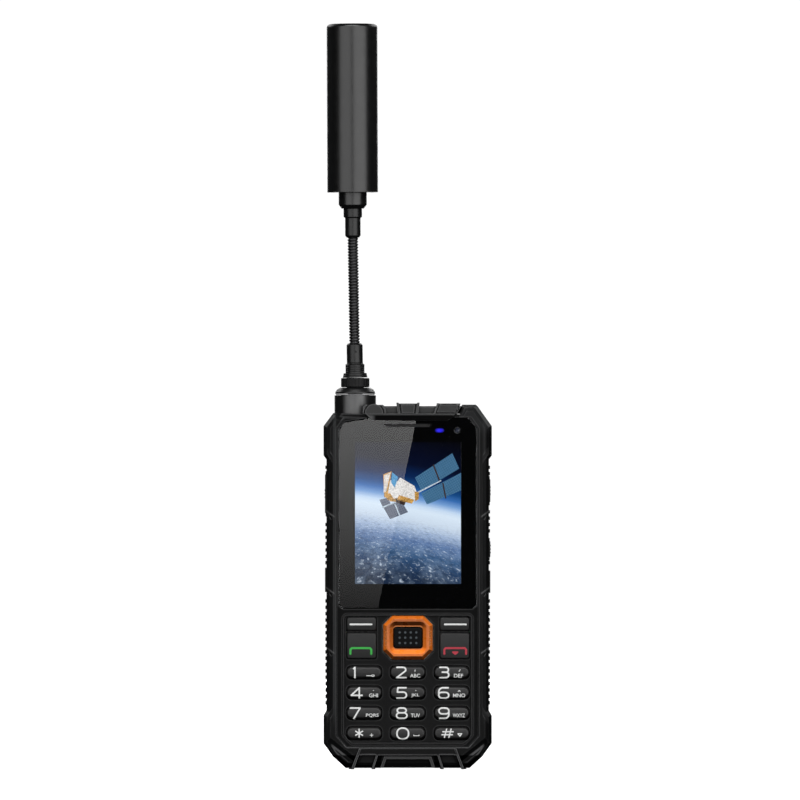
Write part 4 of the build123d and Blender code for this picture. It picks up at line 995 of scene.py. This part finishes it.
def picture_material():
    """Planet limb with cloud, haze and dark sky, lit from behind."""
    g = G("display_picture")
    s = g.n("ShaderNodeSeparateXYZ")
    g.l(g.co.outputs["Object"], s.inputs[0])
    u = g.remap(s.outputs[0], ax0 * MM, ax1 * MM, 0, 1)
    v = g.remap(s.outputs[2], az0 * MM, az1 * MM, 0, 1)
    h = g.math("ADD", g.math("MULTIPLY", u, -0.105), g.math("MULTIPLY", g.math("MULTIPLY", u, u), -0.034))
    h = g.math("ADD", h, 0.628)
    d = g.math("SUBTRACT", v, h)
    # sky above the limb
    sky = g.ramp(g.remap(d, 0.0, 0.5, 0, 1), [(0.0, (0.527, 0.680, 0.887)), (0.08, (0.184, 0.352, 0.658)), (0.16, (0.040, 0.155, 0.440)), (0.25, (0.008, 0.066, 0.223)),
                                              (0.38, (0.0020, 0.018, 0.085)), (0.56, (0.0008, 0.0030, 0.018)), (1.0, (0.0004, 0.0004, 0.0020))])
    # sea and cloud below it; the pattern shrinks towards the limb
    near = g.remap(d, -0.62, 0.0, 1.0, 0.13)
    cv = g.n("ShaderNodeCombineXYZ")
    g.l(g.math("DIVIDE", g.math("SUBTRACT", u, 0.45), near), cv.inputs[0])
    g.l(g.math("DIVIDE", 1.15, near), cv.inputs[1])

    def clouds(scale, detail, rough, seed):
        t = g.n("ShaderNodeTexNoise", noise_dimensions="4D")
        t.inputs["W"].default_value = seed
        t.inputs["Scale"].default_value = scale
        t.inputs["Detail"].default_value = detail
        t.inputs["Roughness"].default_value = rough
        t.inputs["Distortion"].default_value = 0.4
        g.l(cv.outputs[0], t.inputs["Vector"])
        return t.outputs["Fac"]

    big, mid, small = clouds(3.6, 4, 0.6, 1.7), clouds(11.0, 4, 0.6, 5.1), clouds(24.0, 3, 0.55, 9.2)
    sea = g.ramp(g.remap(d, -0.64, 0.0, 0, 1), [(0.0, (0.010, 0.020, 0.045)), (0.20, (0.014, 0.030, 0.070)), (0.32, (0.022, 0.055, 0.130)),
                                                (0.45, (0.050, 0.115, 0.240)), (0.60, (0.120, 0.205, 0.400)), (0.72, (0.360, 0.470, 0.670)),
                                                (0.82, (0.620, 0.720, 0.850)), (0.94, (0.740, 0.850, 0.960)), (1.0, (0.527, 0.680, 0.887))])
    veil = g.math("MULTIPLY", g.remap(big, 0.42, 0.74, 0, 0.34), g.remap(mid, 0.35, 0.6, 0.3, 1))
    flecks = g.math("MULTIPLY", g.remap(small, 0.575, 0.68, 0, 0.9), g.remap(mid, 0.40, 0.60, 0.15, 1))
    puffs = g.remap(mid, 0.63, 0.71, 0, 0.75)
    open_water = g.math("MULTIPLY", g.remap(mid, 0.34, 0.52, 0.60, 0), g.remap(d, -0.16, -0.05, 1, 0, True))
    sea = g.mix(open_water, sea, g.tint(sea, 0.45))
    land = g.mix(veil, sea, (0.42, 0.55, 0.72))
    land = g.mix(flecks, land, (0.66, 0.76, 0.88))
    land = g.mix(puffs, land, (0.74, 0.82, 0.92))
    deck = g.math("MULTIPLY", g.remap(d, -0.26, -0.08, 0, 0.45, True), g.remap(big, 0.34, 0.62, 0.15, 1))
    land = g.mix(deck, land, (0.74, 0.84, 0.94))
    col = g.mix(g.remap(d, -0.012, 0.012, 0, 1, True), land, sky)
    return g.surface((0.001, 0.001, 0.001), 0.3, None, emit=col, emit_strength=1.06, spec=0.0)


pic = picture_material()
w0, w1 = ACTIVE[0] - 0.1, ACTIVE[2] + 0.1
verts = [Vector((x, y, z)) * MM for y in (-9.68, -9.62) for x, z in ((w0, az0 - 0.1), (w1, az0 - 0.1), (w1, az1 + 0.1), (w0, az1 + 0.1))]
piece("display_picture", verts, [(0, 1, 2, 3), (7, 6, 5, 4), (0, 4, 5, 1), (1, 5, 6, 2), (2, 6, 7, 3), (3, 7, 4, 0)], pic, "handset")


def lit(name, col, strength=1.15, detail=0.4, var=0.25):
    g = G(name)
    d = g.noise(detail, 3)
    c = g.mix(g.remap(d, 0.35, 0.65, 0, 1), tuple(x * (1 - var) for x in col), tuple(min(1, x * (1 + var)) for x in col))
    return g.surface(g.tint(c, 0.1), 0.4, None, emit=c, emit_strength=strength, spec=0.0)


def panel_picture(name, col, line, angle):
    g = G(name)
    p = g.pos((1, 1, 1), (0, math.radians(angle), 0))
    s = g.n("ShaderNodeSeparateXYZ")
    g.l(p, s.inputs[0])
    a = g.math("ABSOLUTE", g.math("SUBTRACT", g.math("FRACT", g.math("MULTIPLY", s.outputs[0], 1000 / 0.75)), 0.5))
    b = g.math("ABSOLUTE", g.math("SUBTRACT", g.math("FRACT", g.math("MULTIPLY", s.outputs[2], 1000 / 0.75)), 0.5))
    m = g.remap(g.math("MAXIMUM", a, b), 0.40, 0.46, 0, 1)
    c = g.mix(m, g.mix(g.noise(1.5), tuple(x * 0.8 for x in col), tuple(x * 1.25 for x in col)), line)
    return g.surface(g.tint(c, 0.1), 0.4, None, emit=c, emit_strength=1.1, spec=0.0)


def on_screen(cx, cy):
    """Row x, z of a point given in the display's own grid, 100 wide and 134 high from the top left."""
    return ax0 + cx / 100 * (ax1 - ax0), az1 - cy / 134 * (az1 - az0)


SAT_M = [panel_picture("craft_panel_blue", (0.038, 0.115, 0.215), (0.085, 0.20, 0.31), 31), panel_picture("craft_panel_grey", (0.105, 0.12, 0.165), (0.20, 0.225, 0.27), 24),
         lit("craft_white", (0.66, 0.63, 0.60)), lit("craft_foil", (0.50, 0.27, 0.07), 1.1, 0.5, 0.5), lit("craft_shadow", (0.045, 0.03, 0.025), 1.0),
         lit("craft_boom", (0.45, 0.52, 0.58)), lit("craft_sky_blue", (0.06, 0.27, 0.50), 1.1)]
POLYS = [
    # (layer, material, corners): two wings on one boom, and a box body with a round end
    (0, 0, [(56.5, 33.5), (91.5, 10.5), (98.0, 25.0), (62.5, 46.5)]),
    (0, 0, [(62.3, 48.4), (99.7, 29.0), (99.7, 45.7), (67.7, 58.9)]),
    (1, 4, [(73.0, 21.5), (74.2, 20.8), (80.0, 36.0), (78.8, 36.8)]),
    (1, 4, [(82.0, 39.0), (83.2, 38.3), (86.0, 53.0), (84.8, 53.6)]),
    (1, 5, [(57.5, 47.6), (81.0, 35.8), (81.0, 36.9), (58.3, 48.8)]),
    (0, 1, [(26.5, 61.5), (33.0, 72.8), (50.0, 66.2), (43.0, 55.0)]),
    (1, 1, [(23.0, 54.5), (26.0, 61.0), (33.5, 58.0), (31.0, 52.5)]),
    (1, 5, [(36.9, 58.5), (38.0, 58.0), (42.6, 69.0), (41.4, 69.6)]),
    (1, 5, [(25.6, 61.4), (42.6, 54.4), (43.0, 55.2), (26.1, 62.4)]),
    (2, 3, [(26.5, 30.5), (34.5, 27.5), (31.0, 49.0), (36.0, 54.5), (27.5, 52.0)]),
    (2, 2, [(27.5, 31.5), (33.5, 28.6), (29.5, 46.5), (26.8, 48.0)]),
    (3, 6, [(35.0, 28.5), (40.5, 33.0), (37.5, 43.5), (34.0, 38.0)]),
    (2, 2, [(33.0, 36.0), (39.5, 36.5), (45.0, 43.0), (44.0, 53.5), (37.5, 55.0), (30.5, 50.5)]),
    (3, 3, [(30.0, 51.0), (36.0, 53.5), (43.5, 53.0), (44.5, 57.0), (33.0, 56.0)]),
    (3, 2, [(36.5, 42.5), (42.5, 33.5), (56.0, 41.5), (58.5, 49.0), (55.0, 57.0), (42.5, 53.5), (36.0, 49.0)]),
    (4, 3, [(41.5, 50.0), (55.5, 54.5), (53.5, 58.2), (39.0, 54.8)]),
    (4, 4, [(38.0, 52.8), (48.0, 56.0), (46.5, 59.8), (38.5, 56.8)]),
    (4, 3, [(56.0, 46.5), (60.2, 47.5), (60.0, 54.0), (56.5, 56.0)]),
    (5, 2, [(45.0, 37.5), (53.5, 42.0), (51.5, 47.0), (43.5, 43.5)]),
    (5, 3, [(28.0, 49.5), (33.0, 48.2), (36.5, 53.5), (31.0, 55.0)]),
]
verts, faces, ids = [], [], []
for layer, mid, pts in POLYS:
    y0 = -9.70 - 0.012 * layer
    k = len(verts)
    n = len(pts)
    for y in (y0, y0 + 0.010):
        for p in pts:
            x, z = on_screen(*p)
            verts.append(Vector((x, y, z)) * MM)
    faces.append(tuple(range(k, k + n)))
    faces.append(tuple(reversed(range(k + n, k + 2 * n))))
    ids += [mid, mid]
    for i in range(n):
        faces.append((k + i, k + (i + 1) % n, k + n + (i + 1) % n, k + n + i))
        ids.append(mid)
piece("display_picture_craft", verts, faces, None, "handset", material_ids=ids, mats=SAT_M)


def lamp_material():
    g = G("status_lamp_glow")
    s = g.n("ShaderNodeSeparateXYZ")
    g.l(g.co.outputs["Object"], s.inputs[0])
    dx = g.math("DIVIDE", g.math("SUBTRACT", s.outputs[0], 0.0110), 0.0017)
    dz = g.math("DIVIDE", g.math("SUBTRACT", s.outputs[2], 0.1169), 0.0009)
    r = g.math("ADD", g.math("MULTIPLY", dx, dx), g.math("MULTIPLY", dz, dz))
    f = g.remap(r, 0.0, 1.1, 1.0, 0.12, True)
    c = g.mix(f, (0.002, 0.0015, 0.05), (0.022, 0.014, 0.80))
    return g.surface((0.002, 0.002, 0.004), 0.3, None, emit=c, emit_strength=g.remap(f, 0, 1, 0.5, 1.15), spec=0.1)


verts, faces = [], []
lp = ring_loop(11.0, 116.9, 1.58, 0.74, 32, 3)
for y in (-10.24, -10.18):
    verts += [Vector((x, y, z)) * MM for x, z in lp]
faces = [tuple(range(32)), tuple(reversed(range(32, 64)))] + [(i, (i + 1) % 32, 32 + (i + 1) % 32, 32 + i) for i in range(32)]
piece("status_lamp_window", verts, faces, lamp_material(), "handset")


def lathe(name, cx, cz, prof, mats, ids, body, n=48, sign=1):
    """Turned piece about a line along Y: prof is (radius, y) points, closed on the axis at both ends."""
    verts, faces, mi = [], [], []
    for r, y in prof:
        for i in range(n):
            a = 2 * math.pi * i / n
            verts.append(Vector((cx + r * math.cos(a), y, cz + r * math.sin(a))) * MM)
    for k in range(len(prof) - 1):
        for i in range(n):
            faces.append((k * n + i, k * n + (i + 1) % n, (k + 1) * n + (i + 1) % n, (k + 1) * n + i))
            mi.append(ids[k])
    faces.append(tuple(range(n)))
    mi.append(ids[0])
    last = (len(prof) - 1) * n
    faces.append(tuple(last + i for i in reversed(range(n))))
    mi.append(ids[-1])
    return piece(name, verts, faces, None, body, smooth=True, material_ids=mi, mats=mats)


LENS_G = G("lens_element")
d = LENS_G.noise(3.0, 2)
LENS = LENS_G.surface(LENS_G.mix(d, (0.01, 0.008, 0.02), (0.02, 0.03, 0.06)), LENS_G.remap(d, 0.3, 0.7, 0.03, 0.08), spec=0.5, coat=0.25)
RIM = metal("lens_rim", (0.035, 0.035, 0.037), 0.4)
lathe("front_camera_lens", 17.1, 116.9, [(1.2, -10.17), (1.2, -10.235), (0.95, -10.235), (0.8, -10.19), (0.55, -10.2), (0.3, -10.228), (0.08, -10.235)],
      [RIM, LENS], [0, 0, 0, 1, 1, 1], "handset")
# rear camera: stacked rims under the window
lathe("rear_camera_lens", -4.0, 109.0, [(2.9, 10.0), (2.9, 10.3), (2.55, 10.38), (2.2, 10.25), (1.5, 10.24), (1.3, 9.5), (0.8, 9.62), (0.2, 9.7)],
      [RIM, LENS], [0, 0, 0, 0, 0, 1, 1], "handset")
FL_G = G("flash_lens")
q = FL_G.voronoi(0.35)
FLASH = FL_G.surface(FL_G.mix(q, (0.85, 0.82, 0.55), (0.95, 0.93, 0.78)), FL_G.remap(q, 0, 1, 0.1, 0.3), FL_G.bump(q, 0.05, 0.8))
lathe("flash_lens", 4.0, 109.0, [(1.62, 11.2), (1.62, 11.32), (1.4, 11.36), (0.2, 11.37)], [FLASH], [0, 0, 0], "handset")

# rubber seal that closes the slit between the rear shell, the cap and the bumper beside the headset flap
prof = [(15.6, 122.42), (16.95, 122.42), (17.75, 123.0), (15.6, 123.0)]
verts = [Vector((x, y, z)) * MM for y in (-8.0, 8.0) for x, z in prof]
piece("headset_flap_seal", verts, [(0, 1, 2, 3), (7, 6, 5, 4), (0, 4, 5, 1), (1, 5, 6, 2), (2, 6, 7, 3), (3, 7, 4, 0)], FLAP, "handset")

# torch lens in the reflector
TL_G = G("torch_lens")
q = TL_G.noise(0.6, 3)
TORCH = TL_G.surface(TL_G.mix(q, (0.85, 0.87, 0.88), (0.93, 0.95, 0.96)), TL_G.remap(q, 0.3, 0.7, 0.02, 0.08), transmission=0.9)
verts, faces, prof = [], [], [(1.9, 125.55), (1.95, 125.62), (1.6, 125.78), (0.9, 125.86), (0.1, 125.88)]
for r, z in prof:
    for i in range(32):
        a = 2 * math.pi * i / 32
        verts.append(Vector((0.1 + r * math.cos(a), r * math.sin(a), z)) * MM)
faces = [(k * 32 + i, k * 32 + (i + 1) % 32, (k + 1) * 32 + (i + 1) % 32, (k + 1) * 32 + i) for k in range(4) for i in range(32)]
faces += [tuple(reversed(range(32))), tuple(128 + i for i in range(32))]
piece("torch_lens", verts, faces, TORCH, "handset", smooth=True)


# ---------------------------------------------------------------- studio
def stage_plane(name, corners, mat, camera=True, diffuse=True, glossy=True, shadow=True):
    me = bpy.data.meshes.new(name)
    me.from_pydata([tuple(c) for c in corners], [], [tuple(range(len(corners)))])
    me.materials.append(mat)
    o = bpy.data.objects.new(name, me)
    bpy.context.scene.collection.objects.link(o)
    o.visible_camera = camera
    o.visible_diffuse = diffuse
    o.visible_glossy = glossy
    o.visible_transmission = False
    o.visible_shadow = shadow
    o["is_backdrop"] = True
    return o


def emission(name, col, strength):
    g = G(name)
    e = g.n("ShaderNodeEmission")
    g.put(col if isinstance(col, bpy.types.NodeSocket) else (*col, 1), e.inputs[0])
    g.put(strength, e.inputs[1])
    g.l(e.outputs[0], g.out.inputs["Surface"])
    return g


floor_g = G("pale_floor")
bs = floor_g.n("ShaderNodeBsdfDiffuse")
bs.inputs[0].default_value = (0.8, 0.8, 0.8, 1)
em = floor_g.n("ShaderNodeEmission")
em.inputs[0].default_value = (1, 1, 1, 1)
em.inputs[1].default_value = 1.0
add = floor_g.n("ShaderNodeAddShader")
floor_g.l(bs.outputs[0], add.inputs[0])
floor_g.l(em.outputs[0], add.inputs[1])
floor_g.l(add.outputs[0], floor_g.out.inputs["Surface"])
stage_plane("floor", [(-12, -12, -0.0002), (12, -12, -0.0002), (12, 12, -0.0002), (-12, 12, -0.0002)], floor_g.m, diffuse=False, glossy=False)

world = bpy.data.worlds.new("World")
bpy.context.scene.world = world
world.use_nodes = True
wn = world.node_tree.nodes
wn.clear()
wo = wn.new("ShaderNodeOutputWorld")
bg_cam = wn.new("ShaderNodeBackground")
bg_cam.inputs[0].default_value = (1, 1, 1, 1)
bg_cam.inputs[1].default_value = 1.05
bg_soft = wn.new("ShaderNodeBackground")
bg_soft.inputs[0].default_value = (0.9, 0.95, 1.0, 1)
bg_soft.inputs[1].default_value = 0.02
lpth = wn.new("ShaderNodeLightPath")
mx = wn.new("ShaderNodeMixShader")
world.node_tree.links.new(lpth.outputs["Is Camera Ray"], mx.inputs[0])
world.node_tree.links.new(bg_soft.outputs[0], mx.inputs[1])
world.node_tree.links.new(bg_cam.outputs[0], mx.inputs[2])
world.node_tree.links.new(mx.outputs[0], wo.inputs[0])


def area(name, loc, target, size, power, size_y=None, col=(1, 1, 1), camera=False):
    L = bpy.data.lights.new(name, "AREA")
    L.shape = "RECTANGLE"
    L.size = size
    L.size_y = size_y or size
    L.energy = power
    L.color = col
    o = bpy.data.objects.new(name, L)
    o.location = loc
    o.rotation_euler = (Vector(target) - Vector(loc)).to_track_quat("-Z", "Y").to_euler()
    bpy.context.scene.collection.objects.link(o)
    o.visible_camera = camera
    return o


def wall(name, az0, az1, z0, z1, dist, radiance, col=(1, 1, 1)):
    """Tall soft box standing round the object between two bearings, 0 straight in front and positive to the right."""
    a = math.radians((az0 + az1) / 2)
    w = 2 * dist * math.tan(math.radians((az1 - az0) / 2))
    loc = (dist * math.sin(a), -dist * math.cos(a), (z0 + z1) / 2)
    return area(name, loc, (0, 0, (z0 + z1) / 2), w, radiance * math.pi * w * (z1 - z0), z1 - z0, col)


wall("softbox_left", -58, -5, -0.45, 1.15, 1.3, 1.45)
wall("softbox_right", 4, 64, -0.45, 1.25, 1.3, 1.95)
area("softbox_top", (0.0, -0.9, 1.35), (0, 0, 0.12), 1.2, 9.0, 0.6)
area("softbox_low", (0.0, -1.2, -0.75), (0, 0, 0.08), 1.0, 2.0, 0.4)

# fills for the flanks and the back; they stand behind the object and hardly reach its front
wall("softbox_back", 158, 202, -0.2, 1.1, 1.5, 2.4)
area("fill_left", (-1.15, 1.0, 1.0), (0, 0, 0.1), 0.7, 4.0)
area("fill_right", (1.15, 1.0, 1.0), (0, 0, 0.1), 0.7, 4.0)

# the card whose reflection lies across the left of the glass
CARD_D = 1.2           # metres in front of the glass


def seen(x, z):
    """Where the reflection of a point of the glass (mm) meets the card's plane."""
    f = CARD_D / (DIST * MM)
    return ((x - CAM.x / MM) * (1 + f) + CAM.x / MM) * MM, -0.0113 - CARD_D, ((z - CAM.z / MM) * (1 + f) + CAM.z / MM) * MM


card_g = G("reflector_card")
s = card_g.n("ShaderNodeSeparateXYZ")
card_g.l(card_g.co.outputs["Object"], s.inputs[0])
zt, zb = seen(0, 121)[2], seen(0, 56)[2]
fade = card_g.remap(s.outputs[2], zb, zt, 0.45, 2.5)
e = card_g.n("ShaderNodeEmission")
card_g.l(fade, e.inputs[1])
card_g.l(e.outputs[0], card_g.out.inputs["Surface"])
stage_plane("reflector_card", [seen(4.1, 126), seen(-11.9, 47), seen(-40, 47), seen(-40, 126)], card_g.m, camera=False, diffuse=False, shadow=False)

bpy.context.view_layer.update()
lo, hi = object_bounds()
